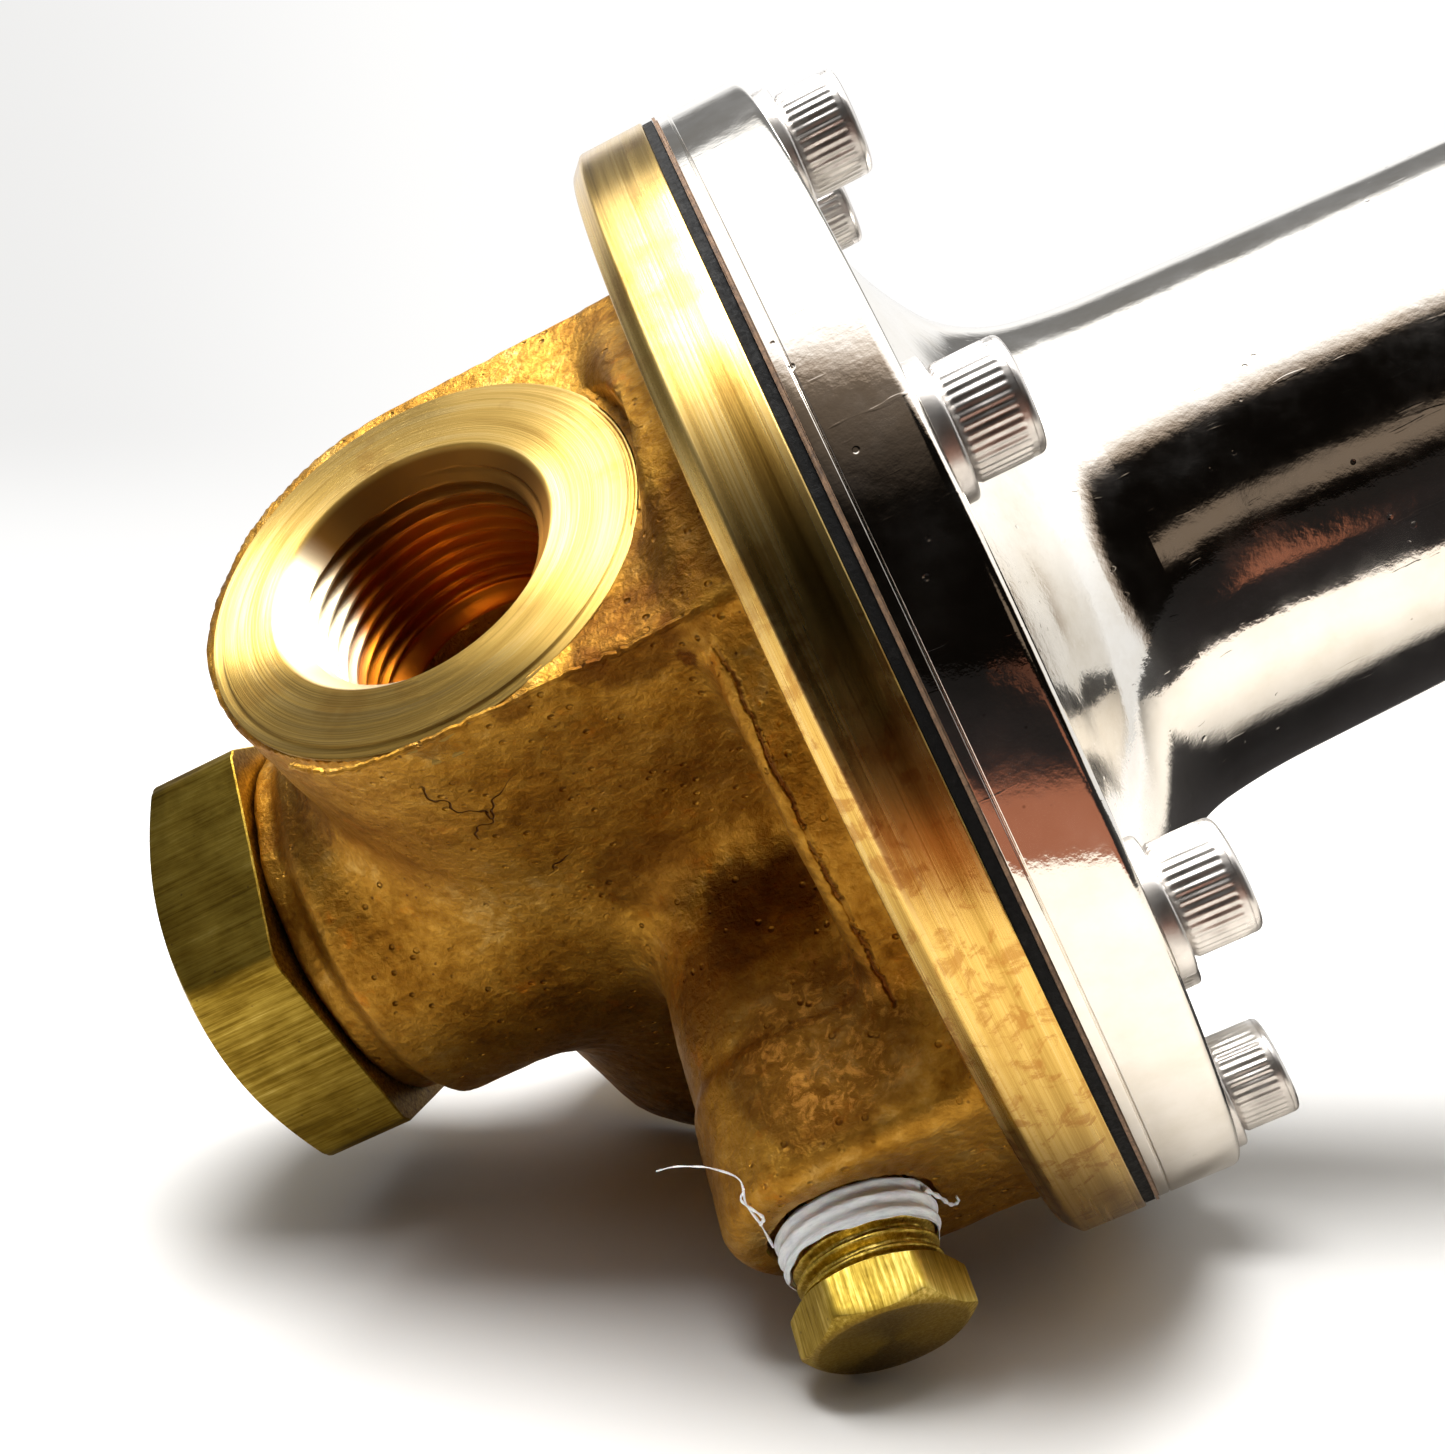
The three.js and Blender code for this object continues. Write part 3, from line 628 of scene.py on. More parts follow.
port_centre = (0.0, 0.0, bore_z)
CAST = cast_brass()
RIM = turned_brass("flange_brass", 2, axis_z, "Z", 0.75, (0.20, 0.30), 0.018)
PORT = turned_brass("port_brass", 0, port_centre, "X", 0.85, (0.34, 0.48), 0.055, 14.5)
HEX = drawn_brass("hex_bar_brass", (2200, 2200, 90), "Z", 0.0)
# Painted light: the gauge plug's bar brass is lifted lighter all over than the same brass on the bottom plug.
PLUG = drawn_brass("plug_bar_brass", (2600, 160, 2600), "Y", 0.09)
NICKEL = nickel_plate()
STEEL = stainless()
ZINC = stainless("zinc_plated_steel", (0.62, 0.64, 0.66), (0.26, 0.42))
SPRING = stainless("spring_steel", (0.40, 0.40, 0.41), (0.28, 0.44))
RUBBER = rubber()
FIBRE = fibre()
TAPE = thread_tape()


# ---- Camera, floor and light ----

view_from = Vector((-133.93, -115.44, 80.96)) * MM
view_along = Vector((0.75488, 0.64342, -0.12717)).normalized()
view_up = Vector((-0.54667, 0.72439, 0.42002)).normalized()
floor_up = Vector((-0.647, 0.644, 0.407)).normalized()
to_viewer = (-view_along + floor_up * view_along.dot(floor_up)).normalized()
to_side = floor_up.cross(to_viewer).normalized()


def facing(along, up):
    """The rotation of a camera or lamp that looks along one direction with another upward."""
    back = -along.normalized()
    right = up.cross(back).normalized()
    return Matrix((right, back.cross(right), back)).transposed()


def make_camera():
    data = bpy.data.cameras.new("camera")
    camera = add_object("camera", data)
    camera.matrix_world = Matrix.Translation(view_from) @ facing(view_along, view_up).to_4x4()
    data.sensor_width = 36.0
    data.lens = 39.52
    data.shift_x = 0.0006
    data.shift_y = 0.0199
    data.clip_start = 0.005
    data.clip_end = 50.0
    bpy.context.scene.camera = camera


def lowest_along(direction):
    """How far the CAD model reaches against a direction, in metres."""
    reach = []
    for node in frame["nodes"].values():
        points = np.array([v.co for v in node.data.vertices])
        reach.append((points @ np.array(direction)).min())
    return min(reach)


def make_floor():
    """A pale table, seen from above only, whose far part glows as painted light so that it fades into the
    backdrop.
    Glossy reflections show it duller as a painted reflection, with a wooden edge, painted shade in dark
    stretches beyond the white part and a painted shadow near the bonnet."""
    centre = floor_up * (lowest_along(floor_up) - 0.0002)
    size = 4.0
    corners = [centre + to_side * size * u + to_viewer * size * v for u, v in
               ((-1, -1), (1, -1), (1, 1), (-1, 1))]
    mesh = bpy.data.meshes.new("table_top")
    mesh.from_pydata([tuple(c) for c in corners], [], [(0, 1, 2, 3)])
    if mesh.polygons[0].normal.dot(floor_up) < 0:
        mesh.flip_normals()
    floor = add_object("table_top", mesh)

    paint = Paint("table_top")
    nearer = paint.along(to_viewer)
    beside = paint.along(to_side)
    slanted = paint.plus(nearer, paint.times(beside, 0.12))
    wood = paint.span(paint.plus(slanted, paint.times(paint.noise(30), 0.012)), 0.150, 0.156)
    # Painted shade, seen only in reflections: the table goes dark further toward the viewer and over the wood
    # off to the side.
    dark = paint.most(paint.span(nearer, 0.19, 0.235), paint.times(wood, paint.span(beside, 0.142, 0.160)))
    # Painted shadow, seen only in reflections: a dark patch on the table near the bonnet.
    painted_shadow_near_bonnet = paint.times(paint.span(beside, 0.122, 0.142), paint.fade(beside, 0.25, 0.29),
                               paint.fade(nearer, 0.018, 0.036), paint.span(nearer, -0.24, -0.16))
    spread = paint.minus(beside, paint.times(nearer, 0.22))
    far_wood = paint.times(paint.span(nearer, 0.25, 0.28), paint.span(beside, 0.15, 0.17),
                           paint.fade(spread, 0.150, 0.185))
    dark = paint.times(paint.most(dark, painted_shadow_near_bonnet), paint.rest(far_wood))
    mirrored = paint.add("ShaderNodeLightPath").outputs["Is Glossy Ray"]
    # Painted reflection: glossy rays see the table duller than the camera does, and only they see the wood
    # edge and the painted shade.
    colour = paint.mix(mirrored, (0.74, 0.73, 0.71), (0.57, 0.53, 0.475))
    colour = paint.coat(colour, (0.17, 0.062, 0.034), wood, mirrored)
    colour = paint.coat(colour, (0.004, 0.003, 0.003), dark, mirrored)
    # Painted light: the far part of the table glows, so that it fades into the backdrop.
    glow = paint.span(paint.times(nearer, -1.0), 0.12, 0.45, 0.0, 0.8)
    paint.done(colour, 0.6, None, 0.0, Specular_IOR_Level=0.1, Emission_Color=(1, 0.995, 0.985, 1),
               Emission_Strength=glow)
    clear = paint.add("ShaderNodeBsdfTransparent").outputs[0]
    from_below = paint.add("ShaderNodeNewGeometry").outputs["Backfacing"]
    choose = paint.add("ShaderNodeMixShader", {0: from_below, 1: paint.shader.outputs[0], 2: clear})
    paint.put(choose.outputs[0], paint.tree.nodes["Material Output"].inputs["Surface"])
    mesh.materials.append(paint.material)


def make_light(name, towards, distance, size, power):
    """A soft box over there, aimed at the middle of the object."""
    middle = Vector((0, 0, 0.09))
    data = bpy.data.lights.new(name, "AREA")
    data.shape = "RECTANGLE"
    data.size, data.size_y = size
    data.energy = power
    lamp = add_object(name, data)
    direction = towards.normalized()
    lamp.matrix_world = (Matrix.Translation(middle + direction * distance)
                         @ facing(-direction, view_up).to_4x4())


def make_world():
    """A white tent with a dim room and its lamp on the viewer's side of it. The camera sees the tent
    everywhere, and only reflections show the room, a gap behind the object and a dark left side."""
    world = bpy.data.worlds.new("tent")
    bpy.context.scene.world = world
    world.use_nodes = True
    sky = Nodes(world.node_tree, "Generated")
    up = sky.along(floor_up)
    ahead = sky.along(to_viewer)
    across = sky.along(to_side)
    room = sky.times(sky.span(ahead, 0.32, 0.50), sky.fade(up, 0.74, 0.88))
    gap = sky.times(sky.span(ahead, -0.90, -0.80), sky.fade(ahead, -0.60, -0.50), sky.span(up, 0.35, 0.50))
    left = sky.times(sky.fade(across, -0.70, -0.57), sky.fade(up, 0.66, 0.84))
    tent = sky.span(up, 0.1, 0.9, 0.95, 1.6)
    tent = sky.times(tent, sky.rest(sky.times(gap, 0.84)), sky.rest(sky.times(left, 0.86)))
    lamp = sky.times(sky.fade(sky.off(across, 0.28), 0.10, 0.17), sky.fade(sky.off(up, 0.20), 0.05, 0.12))
    dim = sky.times(sky.span(up, 0.45, 0.80, 0.0, 0.16), sky.fade(across, -0.20, -0.06))
    dim = sky.plus(sky.plus(dim, 0.003), sky.times(lamp, 0.20))
    path = sky.add("ShaderNodeLightPath").outputs
    seen = path["Is Camera Ray"]
    lit = sky.times(sky.weighed(tent, sky.rest(room), dim, room),
                    sky.rest(sky.times(path["Is Diffuse Ray"], 0.50)))
    shade = sky.times(sky.fade(across, -0.42, -0.10), sky.span(up, 0.0, 0.09))
    strength = sky.weighed(seen, sky.minus(1.02, sky.times(shade, 0.16)), sky.rest(seen), lit)
    tint = sky.coat((1.0, 0.995, 0.985), (1.0, 0.76, 0.56), room, sky.rest(seen))
    background = world.node_tree.nodes["Background"]
    sky.put(tint, background.inputs["Color"])
    sky.put(strength, background.inputs["Strength"])


def set_the_stage():
    make_camera()
    make_floor()
    make_world()
    overhead = floor_up - view_along * 0.06
    make_light("soft_box_overhead", overhead, 0.55, (0.42, 0.42), 9.5)
    settings = bpy.context.scene.view_settings
    settings.view_transform = "Standard"
    settings.look = "None"


# ---- Cast body ----

cup_radius = 23.5
port_boss_radius = 23.2
port_boss_y = 0.9
port_ring_radius = 22.3
port_mouth_radius = 14.7
port_length = port_x - 0.4
gauge_boss_z = gauge_z + 0.8
gauge_boss_radius = 12.3
thread_insert_radius = 15.2
thread_depth = 19.0


def blend_min(a, b, k):
    """The union of two distance fields with a fillet of about k."""
    h = np.clip(0.5 + 0.5 * (b - a) / k, 0, 1)
    return b + (a - b) * h - k * h * (1 - h)


def capped(side, end, rounding):
    """The intersection of two distance fields with a rounded edge."""
    a = side + rounding
    b = end + rounding
    return np.hypot(np.maximum(a, 0), np.maximum(b, 0)) + np.minimum(np.maximum(a, b), 0) - rounding


def step(value, low, high):
    t = np.clip((value - low) / (high - low), 0, 1)
    return t * t * (3 - 2 * t)


def arch(across, z, radius, centre_z):
    """Distance to a section that is round below its centre and straight-sided above it."""
    round_part = np.hypot(across, z - centre_z) - radius
    return np.where(z < centre_z, round_part, np.abs(across) - radius)


def rod(x, y, z, start, end, radius):
    """Distance to a round bar with round ends."""
    start = np.array(start, float)
    along = np.array(end, float) - start
    length = along @ along
    px, py, pz = x - start[0], y - start[1], z - start[2]
    t = np.clip((px * along[0] + py * along[1] + pz * along[2]) / length, 0, 1)
    return np.sqrt((px - t * along[0]) ** 2 + (py - t * along[1]) ** 2
                   + (pz - t * along[2]) ** 2) - radius


def lumps(x, y, z, size, seed):
    """Smooth pseudo-random unevenness between about -1 and 1, from a few crossed waves."""
    random = np.random.default_rng(seed)
    total = 0
    for _ in range(7):
        direction = random.normal(size=3)
        direction *= 2 * PI / (size * np.linalg.norm(direction) * random.uniform(0.7, 1.6))
        phase = direction[0] * x + direction[1] * y + direction[2] * z + random.uniform(0, 2 * PI)
        total = total + np.sin(phase)
    return total / 4


def casting(x, y, z):
    """Distance field of the raw casting with its bores, in millimetres."""
    radius = np.hypot(x, y)
    neck = cup_radius - 2.2 * (1 - step(z, body_bottom_z + 2.2, body_bottom_z + 5.0))
    cup = capped(radius - neck, body_bottom_z - z, 0.7)
    port = capped(arch(y - port_boss_y, z, port_boss_radius, port_z), np.abs(x) - port_length, 0.5)
    swell = 0.6 * step(-y, 42.5, 44.5)
    gauge_side = arch(x, z, gauge_boss_radius - 0.6 + swell, gauge_boss_z)
    gauge = capped(gauge_side, -gauge_y - y, 2.3)
    gauge = np.maximum(gauge, y)
    hub = capped(radius - hub_radius, hub_z - z, 2.0)
    slab = np.maximum(radius - 57.0, flange_z + 0.25 - z)

    shape = blend_min(cup, port, 5.5)
    shape = blend_min(shape, gauge, 5.0)
    shape = blend_min(shape, hub, 3.2)
    shape = blend_min(shape, slab, 2.2)
    shape = shape + 0.10 * lumps(x, y, z, 9.0, 3) + 0.045 * lumps(x, y, z, 2.6, 8)
    shape = np.maximum(shape, z - (flange_z + 1.6))

    from_middle = np.abs(x)
    from_bore = np.hypot(y, z - bore_z)
    from_gauge = np.hypot(x, z - gauge_z)
    ports = np.maximum(from_bore - thread_insert_radius, port_x - thread_depth - from_middle)
    drilled = np.maximum(from_bore - 10.9, 13.0 - from_middle)
    drilled = np.maximum(drilled, from_middle - (port_x - thread_depth + 1))
    inlet = rod(x, y, z, (-27, 0, bore_z), (-9, 0, 32), 8.5)
    outlet = rod(x, y, z, (27, 0, bore_z), (9, 0, 57), 8.5)
    gauge_bore = np.maximum(from_gauge - 5.72, y + 10)
    gauge_mouth = np.maximum(from_gauge - 7.9, y + gauge_y - 2.2)
    groove = np.maximum(radius - 19.5, z - (body_bottom_z + 2.3))
    plug_bore = np.maximum(radius - 17.2, z - 25)
    lower = np.maximum(radius - 16.5, np.maximum(z - 41, 20 - z))
    seat = np.maximum(radius - 10.9, np.maximum(z - 49, 40 - z))
    upper = np.maximum(radius - 17, 48 - z)
    cavity = np.maximum(radius - 45.5, 72 - z)
    spot_face = np.maximum(np.hypot(y, z - port_z) - port_ring_radius - 1.0, port_x - 0.3 - from_middle)
    cuts = (spot_face, ports, drilled, inlet, outlet, gauge_bore, gauge_mouth, groove, plug_bore, lower,
            seat, upper, cavity)
    for cut in cuts:
        shape = np.maximum(shape, -cut)
    return shape


def surface_of(field, low, high, cell):
    """Quads over the zero level of a distance field, one point in each grid cell that it crosses,
    then drawn onto the surface."""
    axes = [np.arange(a, b + cell, cell) for a, b in zip(low, high)]
    x, y, z = np.meshgrid(*axes, indexing="ij", sparse=True)
    value = field(x, y, z).astype(np.float32)
    cells = [n - 1 for n in value.shape]
    total = np.zeros((*cells, 3), np.float32)
    count = np.zeros(cells, np.int8)
    crossings = []
    for axis in range(3):
        first = [slice(None)] * 3
        second = [slice(None)] * 3
        first[axis] = slice(None, -1)
        second[axis] = slice(1, None)
        a = value[tuple(first)]
        b = value[tuple(second)]
        crossed = (a < 0) != (b < 0)
        with np.errstate(divide="ignore", invalid="ignore"):
            share = np.where(crossed, a / (a - b), 0)
        crossings.append((crossed, a < 0))
        others = [k for k in range(3) if k != axis]
        for i in (0, 1):
            for j in (0, 1):
                cut = [slice(None)] * 3
                cut[others[0]] = slice(i, cells[others[0]] + i)
                cut[others[1]] = slice(j, cells[others[1]] + j)
                here = crossed[tuple(cut)]
                total[..., axis] += share[tuple(cut)]
                total[..., others[0]] += here * i
                total[..., others[1]] += here * j
                count += here
    active = count > 0
    index = np.full(cells, -1, np.int64)
    index[active] = np.arange(active.sum())
    corner = np.argwhere(active)
    points = np.array([a[0] for a in axes]) + cell * (corner + total[active] / count[active][:, None])
    faces = []
    for axis in range(3):
        crossed, inside = crossings[axis]
        u, v = (axis + 1) % 3, (axis + 2) % 3
        spots = np.argwhere(crossed)
        fits = np.all([(spots[:, k] >= 1) & (spots[:, k] < cells[k]) for k in (u, v)], axis=0)
        spots = spots[fits]
        quad = []
        for du, dv in ((1, 1), (0, 1), (0, 0), (1, 0)):
            at = spots.copy()
            at[:, u] -= du
            at[:, v] -= dv
            quad.append(index[tuple(at.T)])
        quad = np.stack(quad, 1)
        flip = ~inside[tuple(spots.T)]
        quad[flip] = quad[flip][:, ::-1]
        faces.append(quad)
    points = drawn_onto(field, points)
    return points, np.concatenate(faces).tolist()


def drawn_onto(field, points):
    """Points moved along the field's slope until they lie on its zero level."""
    small = 0.02
    for _ in range(2):
        x, y, z = points.T
        here = field(x, y, z)
        slope = np.stack([
            field(x + small, y, z) - field(x - small, y, z),
            field(x, y + small, z) - field(x, y - small, z),
            field(x, y, z + small) - field(x, y, z - small),
        ], 1) / (2 * small)
        size = np.maximum((slope ** 2).sum(1), 0.25)
        points = points - slope * np.clip(here / size, -0.4, 0.4)[:, None] * 0.9
    return points


def make_casting():
    cell = 0.66
    low = (-flange_radius, -flange_radius, body_bottom_z - 1.0)
    high = (flange_radius, flange_radius, flange_z + 2.6)
    add_piece("body_casting", *surface_of(casting, low, high, cell), "housing", CAST, "cast_brass",
              ["body"], 50)


def make_flash():
    """Ragged seams left where the mould halves met, standing on the casting."""
    x = -port_length + 0.05
    block = [(x, -17.6, 29.3), (x, -20.6, 33.6), (x, -21.8, 39.0), (x, -22.1, 46.7), (x, -22.1, 54.3),
             (x, -22.3, 61.6), (x, -21.8, 68.8)]
    turn = np.radians(np.linspace(200, 305, 22))
    reach = hub_radius - 0.35
    hub = np.stack([reach * np.cos(turn), reach * np.sin(turn), np.full(22, hub_z + 1.6)], 1)
    seams = {"port_block_seam": (block, 0.42, 1), "hub_seam": (hub, 0.42, 2)}
    for name, (path, radius, seed) in seams.items():
        line = spline(path, 14)
        random = np.random.default_rng(seed)
        line = line + random.normal(scale=0.07, size=line.shape)
        share = np.linspace(0, 2 * PI, len(line))
        thickness = radius * (0.8 + 0.4 * wave(share, seed, (3, 7, 13, 29, 41)))
        add_piece(name, *tube(line, np.clip(thickness, 0.10, 0.6)), "housing", CAST, "cast_brass")


def make_body_flange():
    section = [
        (47.0, joint_z - 7.6, 0), (47.0, flange_z, 0), (flange_radius - 1.5, flange_z, 0.2),
        (flange_radius, flange_z + 1.5, 0.25), (flange_radius, joint_z, 0.2), (47.0, joint_z, 0.1),
    ]
    add_piece("body_flange", *revolve_outline(section, 288), "housing", RIM, "cast_brass")


def thread_profile(phase):
    """Height of a pipe thread's flank over one pitch, 0 at the crest and 1 at the root."""
    t = np.abs((phase % 1.0) * 2 - 1)
    return step(t, 0.12, 0.88)


def make_port_ring(name, side):
    """The turned end of a port: face with tool rings, countersink and pipe thread."""
    count = 168
    turn = np.arange(count) / count
    pitch = 25.4 / 14
    crest, depth = 12.06, 1.1
    mouth = port_mouth_radius
    rim = port_ring_radius
    rings = []
    for s in np.arange(thread_depth + 0.4, 0.0, -0.12):
        height = thread_profile(s / pitch - turn)
        runout = 1 - step(s, 16.0, 18.2)
        radius = crest + depth * height * runout
        radius = radius - 1.2 * step(s, 17.2, 19.2)
        radius = np.maximum(radius, mouth - s)
        rings.append((radius, port_x - s))
    face = [(mouth + 0.05, port_x - 0.02)]
    for radius in np.arange(mouth + 0.35, rim - 0.3, 0.14):
        groove = 0.008 * math.sin(radius * 14.1) + 0.009 * math.sin(radius * 21.0 + 1)
        lip = 0.26 * step(radius, rim - 1.3, rim - 1.0)
        face.append((radius, port_x - 0.04 - lip + groove))
    edge = rounded([(rim - 0.3, port_x - 0.30, 0), (rim, port_x - 0.30, 0.15), (rim, port_x - 3.4, 0),
                    (thread_insert_radius + 0.6, port_x - 3.4, 0),
                    (thread_insert_radius + 0.6, port_x - thread_depth - 0.4, 0)])
    points, faces = revolve(rings + face + edge, count, wrap=True)
    x, y, z = points.T
    placed = np.stack([side * z, side * y, x + bore_z], 1)
    ring_shift = step(np.hypot(x, y), mouth + 0.5, 21.0) * (port_z - bore_z)
    placed[:, 2] += ring_shift
    add_piece(name, placed, turned_over(faces), "housing", PORT, "cast_brass")


# ---- Plugs ----

def make_bottom_plug():
    count = 360
    top = heights("bottom_plug")[1]
    flats = 44.45
    hex_height = 12.2
    first_corner = 41.8
    outline = hex_radius(degrees(count), flats, first_corner)
    face = 21.3
    slope = 2.4 / (flats / math.sqrt(3) - face)
    chamfer_z = slope * (outline - face)
    rings = [(face * k / 8, 0.0) for k in range(1, 8)] + [(face - 0.15, 0.0)]
    rings += hex_cone(outline, face, slope, 0.0, (0.02, 0.25, 0.5, 0.75, 0.97))
    rings += hex_sides(outline, chamfer_z, hex_height, (0.03, 0.2, 0.4, 0.6, 0.8, 0.985))
    rings.append((outline - 0.15, hex_height))
    rings += [(20.0, hex_height), (16.9, hex_height), (16.9, 23), (15.9, top),
              (9.6, top), (9.6, 16), (5.3, 16), (5.3, 8)]
    points, faces = revolve(rings, count)
    add_piece("bottom_hex_plug", points, turned_over(faces), "housing", HEX, "bar_brass",
              ["bottom_plug"])


def lay_in_gauge_port(points):
    """From a plug drawn along +Z with its outer end high, to its place along -Y."""
    x, y, z = points.T
    return np.stack([x, -z, y + gauge_z], 1)


def make_gauge_plug():
    count = 252
    turn = degrees(count)
    pitch, crest, depth = 25.4 / 19, 6.58, 0.72
    hex_start = gauge_plug_end - 4.6
    inner_end = gauge_y - 5.0
    rings = [(4.0, inner_end), (4.9, inner_end)]
    for z in np.arange(inner_end + 0.3, hex_start - 0.25, 0.1):
        height = thread_profile(z / pitch - turn / 360)
        allowed = 5.42 + 1.3 * step(z, gauge_y - 2.0, gauge_y - 0.2)
        rings.append((np.minimum(crest - depth * height, allowed), z))
    outline = hex_radius(turn, 14.0, 19.2, 3.0)
    back, face = 6.75, 6.55
    back_slope, slope = 0.5, 0.55
    low = hex_start + back_slope * (outline - back)
    high = gauge_plug_end - slope * (outline - face)
    rings += [(crest - 0.5, hex_start), (back, hex_start)]
    rings += hex_cone(outline, back, back_slope, hex_start, (0.35, 0.98))
    rings += hex_sides(outline, low, high, (0.04, 0.25, 0.5, 0.75, 0.96))
    rings += hex_cone(outline, face, -slope, gauge_plug_end, (0.97, 0.6, 0.3, 0.04))
    rings += [(face * k / 6 - 0.1, gauge_plug_end) for k in range(6, 0, -1)]
    points, faces = revolve(rings, count)
    add_piece("gauge_hex_plug", lay_in_gauge_port(points), faces, "gauge_plug", PLUG, "bar_brass",
              ["gauge_plug"])


def make_tape():
    """Thread tape wound over the plug's thread, ragged where it was torn."""
    count = 220
    angle = np.arange(count) * 2 * PI / count
    pitch = 25.4 / 19
    start = gauge_y - 0.35
    rows = 34
    length = 3.5 + 0.25 * wave(angle, 4)
    ragged = 0.28 * wave(angle, 9, (7, 11, 19, 31, 43))
    outer = []
    inner = []
    for row in range(rows + 1):
        t = row / rows
        z = start + ragged * (1 - t) ** 3 + length * t
        ridge = 0.20 * np.sin(2 * PI * (z / pitch - angle / (2 * PI)))
        fold = 0.10 * wave(angle + 3 * t, 12, (3, 8, 17)) * math.sin(PI * t)
        radius = 7.12 + ridge + fold + 0.18 * math.sin(PI * min(1, t * 1.4))
        outer.append((radius, z))
        inner.append((radius - 0.32 * (0.3 + 0.7 * math.sin(PI * min(1.0, t + 0.06))), z))
    points, faces = revolve(outer + inner[::-1], count, wrap=True)
    add_piece("thread_tape", lay_in_gauge_port(points), faces, "tape_carrier", TAPE, "thread_tape",
              ["gauge_plug_tape"])


def spline(points, count):
    """A smooth curve through points."""
    points = np.asarray(points, float)
    padded = np.concatenate([2 * points[:1] - points[1:2], points, 2 * points[-1:] - points[-2:-1]])
    out = []
    for i in range(len(points) - 1):
        a, b, c, d = padded[i:i + 4]
        for t in np.linspace(0, 1, count, endpoint=False):
            out.append(0.5 * (2 * b + (c - a) * t + (2 * a - 5 * b + 4 * c - d) * t ** 2
                              + (3 * b - a - 3 * c + d) * t ** 3))
    out.append(points[-1])
    return np.array(out)


def make_wisps():
    """Threads of tape that stick out beside the gauge port."""
    y = -gauge_y
    strands = {
        "tape_wisp_1": ([(-3.3, y - 0.6, gauge_z - 6.9), (-8.3, y - 0.5, gauge_z - 6.2),
                         (-12.0, y, gauge_z - 6.0), (-15.9, y + 0.3, gauge_z - 5.0),
                         (-20.1, y, gauge_z - 5.8), (-22.6, y - 0.4, gauge_z - 6.7),
                         (-23.0, y, gauge_z - 8.1), (-22.3, y + 0.6, gauge_z - 9.7)], 0.11),
        "tape_wisp_2": ([(-8.3, y - 0.5, gauge_z - 6.2), (-11.0, y - 1.2, gauge_z - 5.2),
                         (-13.5, y - 0.4, gauge_z - 5.9), (-16.5, y - 0.9, gauge_z - 4.7)], 0.16),
        "tape_wisp_3": ([(-1.8, y - 0.4, gauge_z + 7.2), (0.7, y - 0.6, gauge_z + 7.9),
                         (3.0, y - 0.6, gauge_z + 8.3), (3.3, y - 0.5, gauge_z + 9.0),
                         (2.4, y - 0.4, gauge_z + 9.1)], 0.22),
    }
    for name, (path, radius) in strands.items():
        line = spline(path, 10)
        share = np.linspace(0, 1, len(line))
        thickness = radius * (1 - 0.6 * share) * (1 + 0.3 * np.sin(share * 40))
        add_piece(name, *tube(line, thickness), "tape_carrier", TAPE, "thread_tape")


# ---- Clamped stack, bonnet and screws ----

def make_sheets():
    """The diaphragm's and the gasket's edges, cut by hand and not quite even."""
    count = 360
    angle = np.arange(count) * 2 * PI / count
    stack = (("diaphragm_edge", "diaphragm", RUBBER, "black_rubber", flange_radius - 0.35, 0.10, 21),
             ("gasket_edge", "diaphragm_gasket", FIBRE, "fibre_sheet", flange_radius - 0.15, 0.16, 22))
    for name, node, material, slot, radius, uneven, seed in stack:
        low, high = heights(node)
        bottom = max(low, joint_z + 0.02)
        top = high + 0.03
        edge = radius + uneven * wave(angle, seed, (5, 9, 16, 27, 44, 71))
        rings = [(47.0, bottom), (edge - 0.2, bottom), (edge, bottom + 0.12), (edge, top - 0.12),
                 (edge - 0.2, top), (47.0, top)]
        add_piece(name, *revolve(rings, count, wrap=True), "housing", material, slot)


def make_bonnet():
    """The outside is drawn from the clamped face up to the boss, and the inside back down."""
    line = 82.6
    outside = [
        (bonnet_radius, bonnet_z, 0.15), (bonnet_radius, line - 0.16, 0.05),
        (bonnet_radius - 0.16, line, 0.05), (bonnet_radius, line + 0.16, 0.05),
        (bonnet_radius, deck_z, 1.1), (47.5, deck_z, 3.0), (37.0, deck_z + 4.4, 3.5),
        (31.5, deck_z + 8.2, 2.6), (28.4, deck_z + 13.0, 3.0), (27.0, deck_z + 20.0, 5.0),
        (25.0, 152.0, 8.0), (23.9, crown_z - 5.0, 3.0), (20.5, crown_z, 3.2),
        (12.5, crown_z, 0.8), (12.5, bonnet_top, 0.9), (5.2, bonnet_top, 0.3),
    ]
    inside = [
        (5.2, crown_z - 5.0, 0), (16.0, crown_z - 5.0, 1.0), (19.6, crown_z - 8.0, 1.0),
        (21.4, 152.0, 2.0), (23.4, 110.0, 2.0), (27.3, 98.0, 2.0), (34.0, 91.0, 2.0),
        (45.5, 84.5, 0.5), (45.5, bonnet_z, 0.1),
    ]
    add_piece("spring_bonnet", *revolve_outline(outside + inside, 320, 7), "housing", NICKEL,
              "nickel_plate", ["bonnet"], 40)


def screw_rings(count):
    """Rings of a socket cap screw from the tip of its shank to the bottom of its socket."""
    head = 6.0
    ridges = 40
    ridge = np.abs((np.arange(count) * ridges / count) % 1.0 * 2 - 1)
    knurl = 4.93 - 0.12 * step(ridge, 0.15, 0.85)
    rings = [(1.8, -18.0), (2.4, -18.0), (2.95, -17.4), (2.95, -0.4), (3.2, 0.0), (4.5, 0.0)]
    rings += [(np.minimum(knurl, 4.72), 0.25), (knurl, 0.55), (knurl, 2.6), (knurl, 4.55)]
    rings += [(np.minimum(knurl + 0.06, 4.90), 4.75), (4.90, 4.85)]
    rings += rounded([(4.90, 4.85, 0), (4.90, 5.35, 0), (4.90, head, 0.75), (3.35, head, 0)], 6)[1:]
    socket = hex_radius(degrees(count), 5.0, 0.0, 3.0)
    rings += [(np.maximum(socket, 2.95) + 0.05, head - 0.02), (np.maximum(socket, 2.62), head - 0.30)]
    rings += [(socket, head - 0.55), (socket, head - 3.0), (socket * 0.9, head - 3.1)]
    rings += [(0.8, head - 3.7)]
    return rings


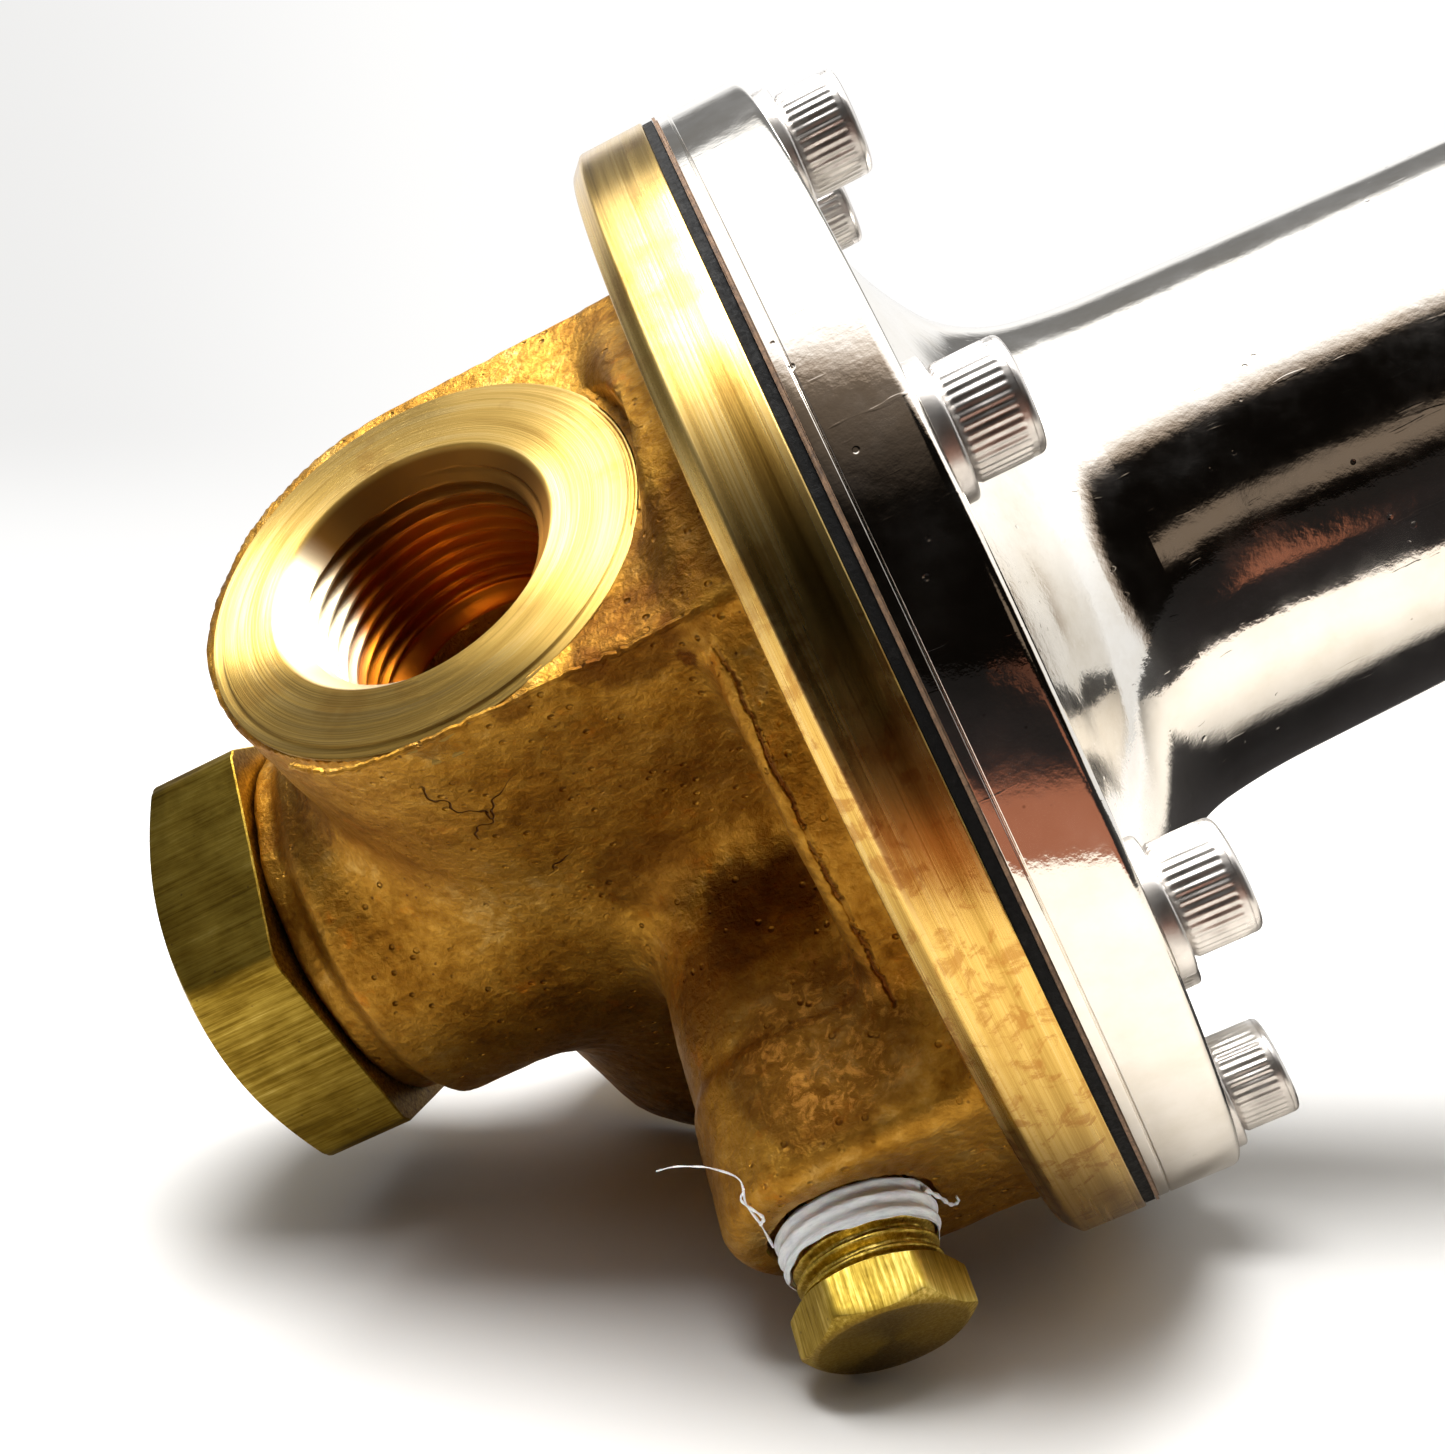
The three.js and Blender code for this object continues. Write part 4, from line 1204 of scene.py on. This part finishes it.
def make_screws_and_washers():
    count = 240
    base_points, base_faces = revolve(screw_rings(count), count)
    for k in range(1, 9):
        low, high = box_mm(f"cap_screw_{k}")
        x, y = (low[:2] + high[:2]) / 2
        under_head = high[2] - 6.0
        turn = 0.7 * k * k
        px, py, pz = base_points.T
        placed = np.stack([
            x + px * math.cos(turn) - py * math.sin(turn),
            y + px * math.sin(turn) + py * math.cos(turn),
            under_head + pz,
        ], 1)
        add_piece(f"socket_cap_screw_{k}", placed, base_faces, "housing", STEEL, "stainless_steel",
                  [f"cap_screw_{k}"])
        bottom, top = heights(f"washer_{k}")
        section = [(3.25, bottom, 0.1), (6.0, bottom, 0.12), (6.0, top, 0.45), (3.25, top, 0.1)]
        points, faces = revolve_outline(section, 96)
        add_piece(f"flat_washer_{k}", points + [x, y, 0], faces, "housing", STEEL, "stainless_steel",
                  [f"washer_{k}"])


# ---- Adjuster ----

adjuster_flats = 17.0
adjuster_face = 8.0
adjuster_slope = 0.55


def make_adjusting_screw():
    count = 180
    turn = degrees(count)
    tip, end = heights("adjusting_screw")
    pitch, crest, depth = 1.5, 4.9, 0.75
    head_low = end - 6.4
    rings = [(2.4, tip), (3.4, tip)]
    for z in np.arange(tip + 0.4, head_low - 0.2, 0.12):
        height = thread_profile(z / pitch - turn / 360)
        lead = min(crest, 3.4 + (z - tip) * 0.8)
        rings.append((np.minimum(crest - depth * height, lead), z))
    outline = hex_radius(turn, adjuster_flats, 10.0, 3.0)
    low = head_low + 0.1
    high = end - adjuster_slope * (outline - adjuster_face)
    rings += [(4.6, head_low), (8.2, head_low)]
    rings += hex_sides(outline, low, low + 4.6, (0.0, 0.3, 0.6))
    rings += hex_sides(outline, low, high, (0.75, 0.99))
    rings += hex_cone(outline, adjuster_face, -adjuster_slope, end, (0.97, 0.5, 0.03))
    rings += [(adjuster_face * k / 5 - 0.1, end) for k in range(5, 0, -1)]
    add_piece("adjusting_bolt", *revolve(rings, count), "adjusting_screw", ZINC, "zinc_plated_steel",
              ["adjusting_screw"])


def make_lock_nut():
    count = 180
    bottom, top = heights("lock_nut")
    outline = hex_radius(degrees(count), adjuster_flats, 22.0, 3.0)
    face = adjuster_face
    drop = adjuster_slope * (outline - face)
    rings = [(5.4, bottom), (5.9, bottom), (face - 0.1, bottom)]
    rings += hex_cone(outline, face, adjuster_slope, bottom, (0.03, 0.5, 0.97))
    rings += hex_sides(outline, bottom + drop, top - drop, (0.03, 0.33, 0.66, 0.97))
    rings += hex_cone(outline, face, -adjuster_slope, top, (0.97, 0.5, 0.03))
    rings += [(face - 0.1, top), (5.9, top), (5.25, top - 0.6), (5.25, bottom + 0.6)]
    add_piece("adjuster_lock_nut", *revolve(rings, count, wrap=True), "lock_nut", ZINC,
              "zinc_plated_steel", ["lock_nut"])


# ---- Pieces that flex ----

def make_flexing_pieces():
    """The diaphragm and the springs: copies of their CAD meshes in their finishes, in place of the CAD nodes.
    """
    flexing = (
        ("moulded_diaphragm", "diaphragm", RUBBER, "black_rubber", "valve_stack", 1.0, False),
        ("poppet_return_spring", "poppet_spring", SPRING, "spring_steel", "valve_stack", 1.5, True),
        ("pressure_range_spring", "range_spring", SPRING, "spring_steel", "spring_button", 4.2, True),
    )
    for name, node, material, slot, body, thickness, carried_at_top in flexing:
        mesh = frame["nodes"][node].data.copy()
        dress(mesh, material)
        piece = add_object(name, mesh)
        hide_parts(node)
        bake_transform(piece)


# ---- CAD pieces that keep their shape ----

def dress_cad_pieces():
    finishes = {
        RUBBER: ["bottom_plug_o_ring", "poppet_disc"],
        FIBRE: ["diaphragm_gasket"],
        STEEL: ["seat_ring", "stem"],
        HEX: ["poppet", "lower_pressure_plate"],
        ZINC: ["upper_pressure_plate", "stack_nut", "spring_button"],
    }
    for material, names in finishes.items():
        for name in names:
            dress(frame["nodes"][name].data, material)


set_the_stage()
make_casting()
make_flash()
make_body_flange()
make_port_ring("inlet_port_ring", -1)
make_port_ring("outlet_port_ring", 1)
make_bottom_plug()
make_gauge_plug()
make_tape()
make_wisps()
make_sheets()
make_bonnet()
make_screws_and_washers()
make_adjusting_screw()
make_lock_nut()
make_flexing_pieces()
dress_cad_pieces()
